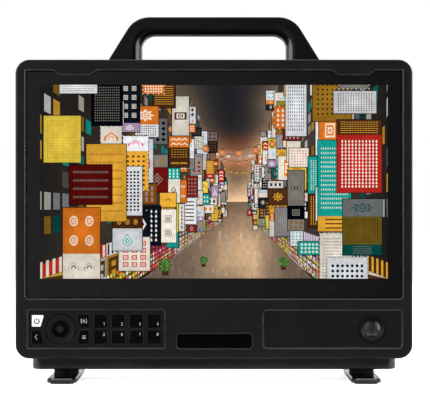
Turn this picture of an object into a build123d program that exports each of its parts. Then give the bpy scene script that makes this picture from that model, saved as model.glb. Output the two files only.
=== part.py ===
from build123d import *

import math
import os

# Production monitor on two bar feet, in millimetres: X to the right, Y to the back, Z up.
# The origin is on the ground, midway between the feet and midway along them.
# A depth is counted backwards from the front plane of the case.

# Case
case_corner = 12.0
case_least_corner = 1.0
front_chamfer = 0.7
recess_chamfer = 0.7
lower_recess_chamfer = 0.5
frame_depth = 14.0
frame_side = 8.4
frame_top = 9.0
frame_bottom = 50.7
window_wall = 2.5
frame_rim = 9.0
lip_length = 6.0
lip_gap = 0.2
housing_inset = 2.0
housing_wall = 3.0
shoulder_depth = 11.0
shoulder_slope = 9.0

# Picture and its glass
picture_width = 294.4
picture_height = 164.2
picture_side = 12.6
picture_top = 12.3
picture_bottom = 17.1
glass_recess_corner = 3.0
glass_seat = 6.0
glass_gap = 0.9
glass_thickness = 2.0
gasket_thickness = 0.6
window_margin = 3.7
tab_inset = 41.8
tab_top_width = 37.2
tab_bottom_width = 26.6
tab_drop = 4.1
tab_thickness = 1.6
tab_round = 1.6
magnet_inset = 59.0
magnet_rise = 8.6
magnet_radius = 3.4
magnet_gap = 0.1

# Display stack behind the glass
panel_thickness = 2.0
panel_margin = 2.0
diffuser_thickness = 1.5
stack_gap = 0.3
tray_wall = 1.2
tray_depth = 7.3
tray_gap = 2.0
tray_flange_gap = 1.1
led_board_thickness = 1.6
led_size = 3.0
led_height = 1.0
led_columns = 8
led_rows = 5

# Cooling plate and boards
sink_side_gap = 14.1
sink_end_gap = 9.0
sink_plate = 2.5
fin_height = 11.5
fin_thickness = 1.4
fin_pitch = 8.0
board_stand_off = 2.0
board_thickness = 1.6
board_side_gap = 8.0
board_end_gap = 20.0
board_gap = 8.0
main_board_left = -28.0
spacer_radius = 2.6
spacer_inset = 6.0
spacer_edge = 8.0
m3_radius = 1.5
m3_head_radius = 2.8
m3_head_height = 2.0
m3_length = 4.0
screw_gap = 0.1
screw_reserve = 1.0
chip_size = 26.0
chip_height = 2.4
chip_sink_height = 6.0
chip_sink_margin = 2.0
chip_sink_plate = 1.0
chip_sink_pitch = 6.0
memory_width = 9.0
memory_height = 14.0
memory_thickness = 1.2
capacitor_radius = 5.0
capacitor_pitch = 13.0
coil_size = 16.0
coil_corner = 3.0
coil_pitch = 26.0
tall_part_height = 6.0

# Fans
fan_size = 60.0
fan_depth = 15.0
fan_space = 10.4
fan_duct_wall = 1.8
fan_tip_gap = 1.0
fan_hub_radius = 12.5
fan_hub_wall = 1.5
fan_blades = 7
fan_blade_thickness = 1.2
fan_blade_chord = 14.0
fan_root_angle = 48.0
fan_tip_angle = 30.0
fan_strut_width = 4.0
fan_strut_depth = 2.2
fan_stator_radius = 9.0
fan_shaft_radius = 1.5
fan_corner = 4.0
fan_running_gap = 0.6
fan_hub_setback = 1.0
fan_stator_gap = 2.0
shaft_gap = 0.05
fan_hole_inset = 5.0
fan_inset = 66.2
fan_drop = 106.9
fan_screw_length = 8.0

# Vents
vent_slot = 2.4
vent_pitch = 5.6
vent_rows = 9
side_slot_length = 40.0
side_slot_columns = 5
side_slot_pitch = 5.0
side_slot_first = 26.0
side_slot_gap = 4.0
side_slot_drop = 102.9

# Mounting holes
vesa_large = 100.0
vesa_small = 75.0
vesa_hole_radius = 2.0
vesa_boss_radius = 5.5
vesa_boss_height = 8.0
vesa_hole_depth = 10.0
quarter_hole_radius = 3.175
three_eighth_hole_radius = 4.7625
side_hole_spacing = 40.0
side_hole_rise = 60.4
side_hole_depth = 38.0
side_boss_radius = 6.5
side_boss_height = 8.0
side_hole_length = 9.0

# Socket bay at the back
bay_width = 186.0
bay_height = 36.0
bay_rise = 36.4
bay_depth = 19.0
bay_wall = 2.5
bay_corner = 4.0
bay_ledge_width = 7.0
bay_ledge_depth = 6.0
bay_gap = 0.3
socket_plate_thickness = 2.0
socket_board_gap = 0.4
socket_board_margin = 2.0
socket_gap = 0.1
power_socket_x = -72.0
audio_socket_x = -49.0
network_socket_x = -30.0
hdmi_socket_x = -7.0
video_socket_x = 16.0
video_socket_pitch = 18.0
video_socket_count = 4
video_socket_radius = 4.8
video_bore_radius = 4.0
video_insulator_radius = 2.2
video_collar_radius = 7.0
video_lug_radius = 1.0
video_lug_reach = 5.9
video_socket_length = 12.0
video_collar_thickness = 1.6
video_bore_length = 8.0
video_insulator_setback = 3.0
video_lug_setback = 3.5
power_flange_width = 26.0
power_flange_height = 31.0
power_flange_thickness = 2.0
power_flange_corner = 3.0
power_cup_radius = 11.8
power_bore_radius = 8.1
power_pin_radius = 1.2
power_pin_circle = 5.0
network_width = 16.0
network_height = 13.6
network_hole_width = 11.8
network_hole_height = 8.4
hdmi_width = 15.4
hdmi_height = 6.2
hdmi_corner = 1.0
hdmi_hole_width = 14.2
hdmi_hole_height = 4.8
hdmi_hole_corner = 0.8
hdmi_tongue_width = 10.0
hdmi_tongue_height = 1.2
audio_socket_radius = 4.0
audio_hole_radius = 1.8
socket_proud = 4.0
socket_pin_setback = 1.0
socket_back_wall = 2.4

# Control panel
control_left = 10.3
control_width = 116.0
panel_rise = 8.8
panel_height = 32.5
panel_corner = 1.0
panel_least_corner = 0.6
cover_corner = 3.4
panel_seat = 3.0
panel_thin = 2.0
panel_gap = 0.4
panel_ledge = 2.2
button_gap = 0.25
button_proud = 0.5
button_flange = 0.8
button_flange_thickness = 0.8
button_travel = 0.6
button_rest_gap = 0.3
button_edge = 0.35
button_corner = 1.2
button_margin = 3.8
button_row_gap = 2.3
key_columns = 4
key_spacing = 4.0
key_start_gap = 4.25
key_end_gap = 3.35
side_key_outer = 24.3
side_key_far = 13.9
side_key_near = 16.9
stem_radius = 2.0
switch_size = 6.0
switch_height = 3.0
switch_plunger = 0.4
switch_gap = 0.1
key_boss_height = 3.0
key_board_drop = 1.8
key_board_right = 8.0
key_boss_radius = 3.0
key_screw_drop = 2.0
switch_button_radius = 1.6

# Joystick
joystick_left = 27.7
dish_hole_radius = 13.8
dish_radius = 13.2
dish_inner_radius = 7.2
dish_rim_depth = 1.2
dish_floor_depth = 2.8
dish_thickness = 1.5
dish_skirt = 0.9
dish_lip = 0.4
dish_lip_drop = 0.3
dish_bow_share = 0.35
pivot_lift = 3.9
base_half = 8.5
base_cavity_half = 7.0
base_rise = 3.0
base_floor = 1.0
base_corner = 1.0
ring_half = 6.0
ring_inner_half = 4.2
ring_thickness = 2.6
ring_corner = 0.8
trunnion_radius = 0.8
trunnion_reach = 8.0
rocker_radius = 3.4
rocker_half_height = 1.8
rocker_reach = 5.8
stick_radius = 1.5
stick_tail = 1.8
collar_radius = 2.2
collar_thickness = 1.0
cap_near = -3.0
cap_far = 0.6
cap_base_radius = 6.2
cap_top_radius = 3.3
cap_dome = 0.7
cap_foot = 0.6
cap_socket_depth = 2.2

# Right-hand cover and speaker
cover_right = 8.7
cover_width = 117.8
speaker_right = 34.0
speaker_funnel_radius = 9.75
speaker_throat_radius = 7.0
speaker_ring_radius = 10.8
speaker_ring_thickness = 1.2
speaker_hole_radius = 11.5
grille_overlap = 0.2
grille_bow_share = 0.7
slat_pitch = 1.7
slat_thickness = 0.9
slat_count = 7
slat_near = 1.6
rib_offset = 3.4
driver_radius = 14.5
driver_depth = 15.0
driver_magnet_radius = 8.0
driver_flange = 1.5
driver_flange_width = 2.0
driver_cone_drop = 4.0
driver_cap_radius = 3.3
driver_cap_rise = 1.0

# Plain name plate
name_plate_height = 12.4
name_plate_rise = 8.7
name_plate_left_gap = 10.45
name_plate_right_gap = 9.55
name_plate_corner = 3.0
name_plate_seat = 1.2
name_plate_thickness = 1.0
name_plate_gap = 0.2

# Carrying handle
handle_near = 15.0
handle_width = 30.0
handle_rise = 37.7
handle_grip = 14.8
handle_opening = 123.8
handle_opening_corner = 11.0
handle_foot_span = 184.2
handle_shoulder_span = 135.0
handle_shoulder_radius = 22.0
handle_inner_fillet = 8.0
handle_outer_chamfer = 0.5
handle_screw_radius = 2.5
handle_screw_head_radius = 4.25
handle_screw_head_height = 2.8
handle_screw_length = 15.0
handle_screw_spacing = 11.0

# Bottom rail
rail_inset = 12.2
rail_near = 15.0
rail_width = 36.0
rail_height = 12.5
rail_corner = 9.0
rail_chamfer = 1.0
rail_hole_depth = 9.0
rail_hole_spacing = 50.0
rail_screw_inner = 70.0
rail_screw_end = 8.8
rail_screw_radius = 2.0
rail_screw_head_radius = 3.5
rail_screw_head_height = 2.4
rail_screw_length = 10.4
rail_counterbore = 4.0

# Feet
foot_length = 104.0
toe_overhang = 20.0
foot_width = 24.8
foot_inset = 28.4
foot_thickness = 3.5
foot_corner = 7.0
foot_chamfer = 1.0
pad_thickness = 1.2
pad_inset = 2.6
pad_length = 36.0
foot_spacer_width = 21.0
foot_spacer_length = 27.0
foot_spacer_height = 4.4
foot_screw_spacing = 16.0
foot_screw_radius = 2.5
foot_screw_head_radius = 4.6
foot_screw_reach = 6.0

# Case screws
side_screw_inset = 31.65
top_screw_inset = 38.2
case_screw_depth = 17.0
case_screw_head = 3.0
case_screw_length = 6.5

# Worked out from the sizes above
glass_recess_width = picture_width + 2 * picture_side
case_width = glass_recess_width + 2 * frame_side
case_height = frame_bottom + picture_bottom + picture_height + picture_top + frame_top
front_y = toe_overhang - foot_length / 2
foot_top = pad_thickness + foot_thickness
rail_bottom = foot_top + foot_spacer_height
housing_bottom = rail_bottom + rail_height
case_lift = housing_bottom - housing_inset
case_top = case_lift + case_height
case_left = -case_width / 2
case_right = case_width / 2
case_middle_z = case_lift + case_height / 2
housing_half_width = case_width / 2 - housing_inset
housing_top = case_top - housing_inset
cavity_inset = housing_inset + housing_wall
recess_top_z = case_top - frame_top
recess_bottom_z = case_lift + frame_bottom
picture_z = recess_bottom_z + picture_bottom + picture_height / 2
window_width = picture_width + 2 * window_margin
window_height = picture_height + 2 * window_margin
tab_centre = glass_recess_width / 2 - tab_inset
magnet_centre = glass_recess_width / 2 - magnet_inset
magnet_z = recess_bottom_z + magnet_rise
glass_far = glass_seat - gasket_thickness
glass_near = glass_far - glass_thickness
panel_far = glass_far + panel_thickness
frame_plate = glass_seat + window_wall
tray_width = window_width + 2 * (tray_gap + tray_wall)
tray_height = window_height + 2 * (tray_gap + tray_wall)
tray_flange = case_width / 2 - frame_rim - tray_flange_gap - tray_width / 2
tray_floor = frame_plate + tray_depth
tray_far = tray_floor + tray_wall
sink_width = tray_width - 2 * sink_side_gap
sink_height = tray_height - 2 * sink_end_gap
fin_near = tray_far + sink_plate
board_depth = fin_near + fin_height + board_stand_off
board_far = board_depth + board_thickness
board_height = sink_height - 2 * board_end_gap
main_board_right = sink_width / 2 - board_side_gap
power_board_left = -main_board_right
power_board_right = main_board_left - board_gap
fan_near = board_far + fan_space
fan_far = fan_near + fan_depth
rear_wall = fan_far
case_depth = rear_wall + housing_wall
shoulder_near = case_depth - shoulder_depth
fan_duct_radius = fan_size / 2 - fan_duct_wall
fan_blade_radius = fan_duct_radius - fan_tip_gap
fan_centre = housing_half_width - fan_inset
fan_z = case_top - fan_drop
side_slot_z = case_top - side_slot_drop
bay_z = case_lift + bay_rise
bay_floor = case_depth - bay_depth
bay_near = bay_floor - bay_ledge_depth
socket_plate_far = bay_floor + socket_plate_thickness
socket_board_far = bay_near - socket_board_gap
control_x = case_left + control_left + control_width / 2
control_z = case_lift + panel_rise + panel_height / 2
panel_near = panel_seat - panel_thin
button_height = (panel_height - button_row_gap) / 2 - button_margin
button_row_pitch = button_height + button_row_gap
button_near = panel_near - button_proud
flange_near = panel_seat + button_rest_gap
flange_far = flange_near + button_flange_thickness
key_board_depth = frame_plate + key_boss_height
key_board_far = key_board_depth + board_thickness
key_board_left = case_left + frame_rim + screw_gap
key_board_right_x = control_x + control_width / 2 + key_board_right
key_board_bottom = case_lift + frame_rim + screw_gap
key_board_top = recess_bottom_z - key_board_drop
switch_far = key_board_depth - switch_height
switch_near = switch_far - switch_plunger
stem_end = switch_near - switch_gap - button_travel
joystick_x = case_left + control_left + joystick_left
keys_left = joystick_x + side_key_outer + key_start_gap
keys_right = control_x + control_width / 2 - key_end_gap
key_pitch = (keys_right - keys_left + key_spacing) / key_columns
key_width = key_pitch - key_spacing
pivot_depth = key_board_depth - pivot_lift
cover_x = case_right - cover_right - cover_width / 2
speaker_x = case_right - speaker_right
name_plate_left = control_x + control_width / 2 + name_plate_left_gap
name_plate_right = cover_x - cover_width / 2 - name_plate_right_gap
name_plate_z = case_lift + name_plate_rise + name_plate_height / 2
rail_half_length = case_width / 2 - rail_inset
rail_y = front_y + rail_near + rail_width / 2
foot_centre = rail_half_length - foot_inset
handle_y = front_y + handle_near + handle_width / 2
handle_top_z = case_top + handle_rise
handle_under_z = handle_top_z - handle_grip


def depth_y(depth):
    """Y of a point that lies this deep behind the front plane."""
    return front_y + depth


def wall_plane(depth):
    """An upright plane across the case, drawn on with X to the right and Z up."""
    return Plane(origin=(0, depth_y(depth), 0), x_dir=(1, 0, 0), z_dir=(0, -1, 0))


def slab(outline, near, far):
    """An outline drawn in X and Z, made solid between two depths."""
    return extrude(wall_plane(far) * outline, amount=far - near, dir=(0, -1, 0))


def layer(outline, low, high):
    """An outline drawn in X and Y, made solid between two heights."""
    return extrude(Plane.XY.offset(low) * outline, amount=high - low, dir=(0, 0, 1))


def block(x_low, x_high, z_low, z_high, radius=0):
    """A rectangle between these limits, with its corners rounded."""
    width = x_high - x_low
    height = z_high - z_low
    shape = RectangleRounded(width, height, radius) if radius else Rectangle(width, height)
    return Pos((x_low + x_high) / 2, (z_low + z_high) / 2) * shape


def around(x, z, width, height, radius=0):
    """A rectangle of this width and height about a point."""
    return block(x - width / 2, x + width / 2, z - height / 2, z + height / 2, radius)


def disc(x, z, radius):
    """A circle about a point."""
    return Pos(x, z) * Circle(radius)


def bar(origin, direction, radius, length):
    """A round bar that starts at a point and runs along a direction."""
    return extrude(Plane(origin=origin, z_dir=direction) * Circle(radius), amount=length)


def turned(x, z, edges):
    """A closed profile of (radius, depth) edges, turned about an axis that runs front to back."""
    profile = Plane(origin=(x, front_y, z)) * make_face(edges)
    return revolve(profile, Axis((x, front_y, z), (0, 1, 0)))


def turned_points(x, z, points):
    """The same with straight edges through these (radius, depth) points."""
    return turned(x, z, Polyline(*points, close=True))


def case_outline(inset):
    """The front view of the case, drawn in by an inset on every side."""
    half = case_width / 2 - inset
    radius = max(case_corner - inset, case_least_corner)
    return block(-half, half, case_lift + inset, case_top - inset, radius)


def funnel(near_inset, near, far_inset, far):
    """A solid that narrows from one case outline to a smaller one."""
    sections = [wall_plane(near) * case_outline(near_inset), wall_plane(far) * case_outline(far_inset)]
    return loft(sections, ruled=True)


def front_edges(part, x_low, x_high, z_low, z_high):
    """The part's edges that lie in the front plane, inside a rectangle."""
    chosen = []
    for edge in part.edges():
        middle = edge.center()
        ends = [vertex.Y for vertex in edge.vertices()] + [middle.Y]
        flat = max(abs(y - front_y) for y in ends) < 0.001
        if flat and x_low < middle.X < x_high and z_low < middle.Z < z_high:
            chosen.append(edge)
    return chosen


def countersunk_screw(radius, head_radius, length):
    """A flat-headed screw along Z, its head's face at the origin and its shank below."""
    shoulder = radius - head_radius
    points = [(0, 0), (head_radius, 0), (radius, shoulder), (radius, -length), (0, -length)]
    return revolve(Plane.XZ * make_face(Polyline(*points, close=True)), Axis.Z)


def pan_screw(radius, head_radius, head_height, length):
    """A screw along Z, with its head above the origin and its shank below."""
    edge = head_height / 4
    points = [
        (0, head_height),
        (head_radius - edge, head_height),
        (head_radius, head_height - edge),
        (head_radius, 0),
        (radius, 0),
        (radius, -length),
        (0, -length),
    ]
    return revolve(Plane.XZ * make_face(Polyline(*points, close=True)), Axis.Z)


def placed(part, origin, outward):
    """A part built along Z, moved so that Z points outward from a place."""
    return Plane(origin=origin, z_dir=outward).location * part


def case_screw_places():
    """Each case screw's place on the housing and the way that its head faces."""
    y = depth_y(case_screw_depth)
    places = []
    for step in (-1, 0, 1):
        side_z = case_middle_z + step * (case_height / 2 - side_screw_inset)
        top_x = step * (case_width / 2 - top_screw_inset)
        places.append(((-housing_half_width, y, side_z), (-1, 0, 0)))
        places.append(((housing_half_width, y, side_z), (1, 0, 0)))
        places.append(((top_x, y, housing_top), (0, 0, 1)))
        places.append(((top_x, y, housing_bottom), (0, 0, -1)))
    return places


def case_screw_holes(gap):
    """The holes of the case screws, this much wider than the screws."""
    hole = countersunk_screw(m3_radius + gap, case_screw_head + gap, case_screw_length + gap)
    return [placed(hole, *place) for place in case_screw_places()]


def glass_recess_outline(inset):
    """The recess round the glass, with square top corners and rounded lower ones."""
    half = glass_recess_width / 2 - inset
    outline = block(-half, half, recess_bottom_z + inset, recess_top_z - inset)
    lower_corners = outline.vertices().sort_by(Axis.Y)[:2]
    return fillet(lower_corners, glass_recess_corner - inset)


def recess_with_tabs():
    """The recess's outline at the front plane, where two tabs hang over its top edge."""
    outline = glass_recess_outline(0)
    top_half = tab_top_width / 2
    low_half = tab_bottom_width / 2
    for side in (-1, 1):
        x = side * tab_centre
        tab = Polyline(
            (x - top_half, recess_top_z),
            (x - low_half, recess_top_z - tab_drop),
            (x + low_half, recess_top_z - tab_drop),
            (x + top_half, recess_top_z),
            close=True,
        )
        outline -= make_face(tab)
    corners = [
        corner
        for corner in outline.vertices()
        if abs(abs(corner.X) - tab_centre) < top_half + 0.1 and corner.Y > recess_top_z - tab_drop - 0.1
    ]
    return fillet(corners, tab_round)


def panel_outline(x, width, inset, corner):
    """One of the two lower recesses or the plate in it."""
    radius = max(corner - inset, panel_least_corner)
    return around(x, control_z, width - 2 * inset, panel_height - 2 * inset, radius)


def magnet_places():
    """The two magnets that hold a screen protector by its lower edge."""
    return [(-magnet_centre, magnet_z), (magnet_centre, magnet_z)]


def key_board_screw_places():
    """Where the key board is screwed to the front frame."""
    left = key_board_left + 2 * key_boss_radius
    right = key_board_right_x - 2 * key_boss_radius
    high = key_board_top - key_boss_radius - key_screw_drop
    low = control_z - panel_height / 3
    return [(left, high), ((left + right) / 2, high), (right, high), (right, low)]


def make_front_frame():
    frame = slab(case_outline(0), 0, frame_depth)
    outer_edges = frame.faces().sort_by(Axis.Y)[0].edges()
    frame = chamfer(outer_edges, front_chamfer)
    frame += slab(case_outline(cavity_inset + lip_gap), frame_depth, frame_depth + lip_length)
    frame -= slab(case_outline(frame_rim), frame_plate, frame_depth + lip_length)
    for x, z in key_board_screw_places():
        frame += slab(disc(x, z, key_boss_radius), frame_plate, key_board_depth)

    # The display recess, open under the tabs for a protector, and the window behind it
    frame -= slab(recess_with_tabs(), 0, tab_thickness)
    frame -= slab(glass_recess_outline(0), tab_thickness, glass_seat)
    frame -= slab(around(0, picture_z, window_width, window_height), glass_seat, frame_plate)

    # The recesses of the control panel, the right-hand cover and the name plate
    frame -= slab(panel_outline(control_x, control_width, 0, panel_corner), 0, panel_seat)
    control_hole = panel_outline(control_x, control_width, panel_ledge, panel_corner)
    frame -= slab(control_hole, panel_seat, frame_plate)
    frame -= slab(panel_outline(cover_x, cover_width, 0, cover_corner), 0, panel_seat)
    frame -= slab(disc(speaker_x, control_z, speaker_hole_radius), panel_seat, frame_plate)
    frame -= slab(name_plate_outline(0), 0, name_plate_seat)

    low = case_lift + 2 * front_chamfer
    middle = (control_z + panel_height / 2 + recess_bottom_z) / 2
    high = case_top - 2 * front_chamfer
    side = case_width / 2 - 2 * front_chamfer
    frame = chamfer(front_edges(frame, -side, side, middle, high), recess_chamfer)
    frame = chamfer(front_edges(frame, -side, side, low, middle), lower_recess_chamfer)

    for x, z in key_board_screw_places():
        start = (x, depth_y(key_board_depth), z)
        frame -= bar(start, (0, -1, 0), m3_radius + screw_gap, m3_length)
    return frame - case_screw_holes(screw_gap)


def name_plate_outline(inset):
    """The name plate's recess, or the plate itself with an inset."""
    left = name_plate_left + inset
    right = name_plate_right - inset
    reach = name_plate_height / 2 - inset
    radius = name_plate_corner - inset
    return block(left, right, name_plate_z - reach, name_plate_z + reach, radius)


def vent_slots(x, z):
    """Level slots that fill a circle over a fan."""
    slots = []
    for row in range(vent_rows):
        rise = (row - (vent_rows - 1) / 2) * vent_pitch
        length = 2 * math.sqrt(fan_blade_radius**2 - rise**2)
        slot = Pos(x, z + rise) * SlotOverall(length, vent_slot)
        slots.append(slab(slot, rear_wall, case_depth))
    return slots


def side_slots():
    """Two rows of upright slots through each side wall."""
    slots = []
    plane = Plane(origin=(-case_width / 2, front_y, 0), x_dir=(0, 1, 0), z_dir=(1, 0, 0))
    for column in range(side_slot_columns):
        depth = side_slot_first + column * side_slot_pitch
        for side in (-1, 1):
            z = side_slot_z + side * (side_slot_length + side_slot_gap) / 2
            slot = plane * (Pos(depth, z) * SlotOverall(side_slot_length, vent_slot, rotation=90))
            slots.append(extrude(slot, amount=case_width))
    return slots


def corners_of(x, z, width, height):
    """The four corners of a rectangle about a point."""
    return [(x + i * width / 2, z + j * height / 2) for i in (-1, 1) for j in (-1, 1)]


def fan_screw_places():
    """The holes of both fans."""
    spacing = fan_size - 2 * fan_hole_inset
    return corners_of(-fan_centre, fan_z, spacing, spacing) + corners_of(fan_centre, fan_z, spacing, spacing)


def bay_screw_places():
    """The socket plate's screws, in the ledges at the bay's two ends."""
    width = bay_width - bay_ledge_width
    return corners_of(0, bay_z, width, bay_height - 2 * bay_ledge_width)


def rail_screw_places():
    """The rail's screws, in a row along its middle."""
    outer = rail_half_length - rail_screw_end
    return [-outer, -rail_screw_inner, rail_screw_inner, outer]


def handle_screw_places():
    """Two screws in each foot of the handle, midway across the foot."""
    span = (handle_opening + handle_foot_span) / 2
    return corners_of(0, handle_y, span, handle_screw_spacing)


def make_rear_housing():
    housing = slab(case_outline(housing_inset), frame_depth, shoulder_near)
    housing += funnel(housing_inset, shoulder_near, housing_inset + shoulder_slope, case_depth)
    housing -= slab(case_outline(cavity_inset), frame_depth, shoulder_near - housing_wall)
    housing -= funnel(
        cavity_inset, shoulder_near - housing_wall, cavity_inset + shoulder_slope, rear_wall
    )

    # The socket bay is a short tunnel with a ledge at each end for its plate
    tunnel = around(0, bay_z, bay_width + 2 * bay_wall, bay_height + 2 * bay_wall, bay_corner + bay_wall)
    throat_width = bay_width - 2 * bay_ledge_width
    housing += slab(tunnel, bay_near, rear_wall)
    housing -= slab(around(0, bay_z, throat_width, bay_height), bay_near, bay_floor)
    housing -= slab(around(0, bay_z, bay_width, bay_height, bay_corner), bay_floor, case_depth)

    # Bosses behind the rear mounting holes and the holes in the sides
    for spacing in (vesa_large, vesa_small):
        for x, z in corners_of(0, case_middle_z, spacing, spacing):
            housing += slab(disc(x, z, vesa_boss_radius), rear_wall - vesa_boss_height, rear_wall)
    for spacing in (vesa_large, vesa_small):
        for x, z in corners_of(0, case_middle_z, spacing, spacing):
            housing -= slab(disc(x, z, vesa_hole_radius), case_depth - vesa_hole_depth, case_depth)
    for side in (-1, 1):
        inner_x = side * (housing_half_width - housing_wall)
        outer_x = side * housing_half_width
        for step in (-0.5, 0.5):
            z = case_lift + side_hole_rise + step * side_hole_spacing
            y = depth_y(side_hole_depth)
            housing += bar((inner_x, y, z), (-side, 0, 0), side_boss_radius, side_boss_height)
            housing -= bar((outer_x, y, z), (-side, 0, 0), quarter_hole_radius, side_hole_length)

    # Vents and screw holes
    for x in (-fan_centre, fan_centre):
        housing -= vent_slots(x, fan_z)
    housing -= side_slots()
    m3_hole = m3_radius + screw_gap
    housing -= [slab(disc(x, z, m3_hole), rear_wall, case_depth) for x, z in fan_screw_places()]
    housing -= [slab(disc(x, z, m3_hole), bay_near, bay_floor) for x, z in bay_screw_places()]
    rail_hole = rail_screw_radius + screw_gap
    for x in rail_screw_places():
        housing -= bar((x, rail_y, housing_bottom), (0, 0, 1), rail_hole, housing_wall)
    handle_hole = handle_screw_radius + screw_gap
    for x, y in handle_screw_places():
        housing -= bar((x, y, housing_top), (0, 0, -1), handle_hole, housing_wall)
    return housing - case_screw_holes(screw_gap)


def magnet_holes(near, far):
    """The holes that the magnets sit in, between two depths."""
    return [slab(disc(x, z, magnet_radius + magnet_gap), near, far) for x, z in magnet_places()]


def make_display_glass():
    return slab(glass_recess_outline(glass_gap), glass_near, glass_far) - magnet_holes(glass_near, glass_far)


def make_glass_gasket():
    gasket = slab(glass_recess_outline(glass_gap), glass_far, glass_seat)
    gasket -= slab(around(0, picture_z, window_width, window_height), glass_far, glass_seat)
    return gasket - magnet_holes(glass_far, glass_seat)


def make_protector_magnets():
    return [slab(disc(x, z, magnet_radius), glass_near, glass_seat) for x, z in magnet_places()]


def make_screen_panel():
    width = picture_width + 2 * panel_margin
    height = picture_height + 2 * panel_margin
    return slab(around(0, picture_z, width, height), glass_far, panel_far)


def make_diffuser():
    width = window_width - 2 * stack_gap
    height = window_height - 2 * stack_gap
    return slab(around(0, picture_z, width, height), panel_far, panel_far + diffuser_thickness)


def make_backlight_tray():
    flange = around(0, picture_z, tray_width + 2 * tray_flange, tray_height + 2 * tray_flange)
    inside = around(0, picture_z, tray_width - 2 * tray_wall, tray_height - 2 * tray_wall)
    tray = slab(flange, frame_plate, frame_plate + tray_wall)
    tray += slab(around(0, picture_z, tray_width, tray_height), frame_plate, tray_far)
    return tray - slab(inside, frame_plate, tray_floor)


def make_led_board():
    board_near = tray_floor - led_board_thickness
    board = slab(around(0, picture_z, picture_width, picture_height), board_near, tray_floor)
    column_pitch = picture_width / led_columns
    row_pitch = picture_height / led_rows
    for column in range(led_columns):
        x = (column - (led_columns - 1) / 2) * column_pitch
        for row in range(led_rows):
            z = picture_z + (row - (led_rows - 1) / 2) * row_pitch
            board += slab(around(x, z, led_size, led_size), board_near - led_height, board_near)
    return board


def make_heat_sink():
    sink = slab(around(0, picture_z, sink_width, sink_height), tray_far, fin_near)
    side_fins = int((sink_width / 2 - fin_thickness) / fin_pitch)
    fins = []
    for step in range(-side_fins, side_fins + 1):
        fin = around(step * fin_pitch, picture_z, fin_thickness, sink_height)
        fins.append(slab(fin, fin_near, fin_near + fin_height))
    return sink + fins


def between_fins(x):
    """The middle of the gap between two cooling fins that is nearest below x."""
    return math.floor(x / fin_pitch) * fin_pitch + fin_pitch / 2


def board_screw_places():
    """Where the two boards stand on their spacers."""
    places = []
    for left, right in ((main_board_left, main_board_right), (power_board_left, power_board_right)):
        for x in (between_fins(left + spacer_edge), between_fins(right - spacer_edge)):
            for side in (-1, 1):
                places.append((x, picture_z + side * (board_height / 2 - spacer_inset)))
    return places


def make_board_spacers():
    hole_radius = m3_radius + screw_gap
    spacers = []
    for x, z in board_screw_places():
        spacer = slab(disc(x, z, spacer_radius), fin_near, board_depth)
        spacers.append(spacer - slab(disc(x, z, hole_radius), board_depth - m3_length, board_depth))
    return spacers


def board_between(left, right, places):
    """A bare board on the spacers, with its screw holes."""
    outline = around((left + right) / 2, picture_z, right - left, board_height)
    outline -= [disc(x, z, m3_radius + screw_gap) for x, z in places if left < x < right]
    return slab(outline, board_depth, board_far)


def make_main_board():
    board = board_between(main_board_left, main_board_right, board_screw_places())
    middle = (main_board_left + main_board_right) / 2
    chip_far = board_far + chip_height
    board += slab(around(middle, picture_z, chip_size, chip_size), board_far, chip_far)
    cooler_width = chip_size + 2 * chip_sink_margin
    plate_far = chip_far + chip_sink_plate
    board += slab(around(middle, picture_z, cooler_width, cooler_width), chip_far, plate_far)
    for step in (-2, -1, 0, 1, 2):
        fin = around(middle + step * chip_sink_pitch, picture_z, fin_thickness, cooler_width)
        board += slab(fin, plate_far, chip_far + chip_sink_height)
    for x, z in corners_of(middle, picture_z, 2 * chip_size, chip_size):
        memory = around(x, z, memory_width, memory_height)
        board += slab(memory, board_far, board_far + memory_thickness)
    return board


def make_power_board():
    board = board_between(power_board_left, power_board_right, board_screw_places())
    middle = (power_board_left + power_board_right) / 2
    tall_far = board_far + tall_part_height
    for step in (-1, 0, 1):
        can = disc(middle + step * capacitor_pitch, picture_z + board_height / 4, capacitor_radius)
        board += slab(can, board_far, tall_far)
    for side in (-0.5, 0.5):
        x = middle + side * coil_pitch
        coil = around(x, picture_z - board_height / 6, coil_size, coil_size, coil_corner)
        board += slab(coil, board_far, tall_far)
    return board


def make_board_screws():
    screw = pan_screw(m3_radius, m3_head_radius, m3_head_height, m3_length)
    back = (0, 1, 0)
    screws = [placed(screw, (x, depth_y(board_far), z), back) for x, z in board_screw_places()]
    screws += [placed(screw, (x, depth_y(key_board_far), z), back) for x, z in key_board_screw_places()]
    return screws


def make_socket_board():
    width = bay_width - 2 * (bay_ledge_width + socket_board_margin)
    outline = around(0, bay_z, width, bay_height - 2 * socket_board_margin)
    return slab(outline, socket_board_far - board_thickness, socket_board_far)


def video_socket_places():
    """Each video socket's X."""
    return [video_socket_x + step * video_socket_pitch for step in range(video_socket_count)]


def make_socket_plate():
    width = bay_width - 2 * bay_gap
    height = bay_height - 2 * bay_gap
    plate = slab(around(0, bay_z, width, height, bay_corner - bay_gap), bay_floor, socket_plate_far)
    openings = [disc(x, bay_z, video_socket_radius + socket_gap) for x in video_socket_places()]
    openings.append(disc(power_socket_x, bay_z, power_cup_radius + socket_gap))
    openings.append(disc(audio_socket_x, bay_z, audio_socket_radius + socket_gap))
    openings.append(network_outline(socket_gap))
    openings.append(hdmi_outline(socket_gap))
    openings += [disc(x, z, m3_radius + screw_gap) for x, z in bay_screw_places()]
    return plate - [slab(opening, bay_floor, socket_plate_far) for opening in openings]


def network_outline(grow):
    """The network socket's outline, grown on every side."""
    return around(network_socket_x, bay_z, network_width + 2 * grow, network_height + 2 * grow)


def hdmi_outline(grow):
    """The flat video input's outline, grown on every side."""
    return around(hdmi_socket_x, bay_z, hdmi_width + 2 * grow, hdmi_height + 2 * grow, hdmi_corner)


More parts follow.
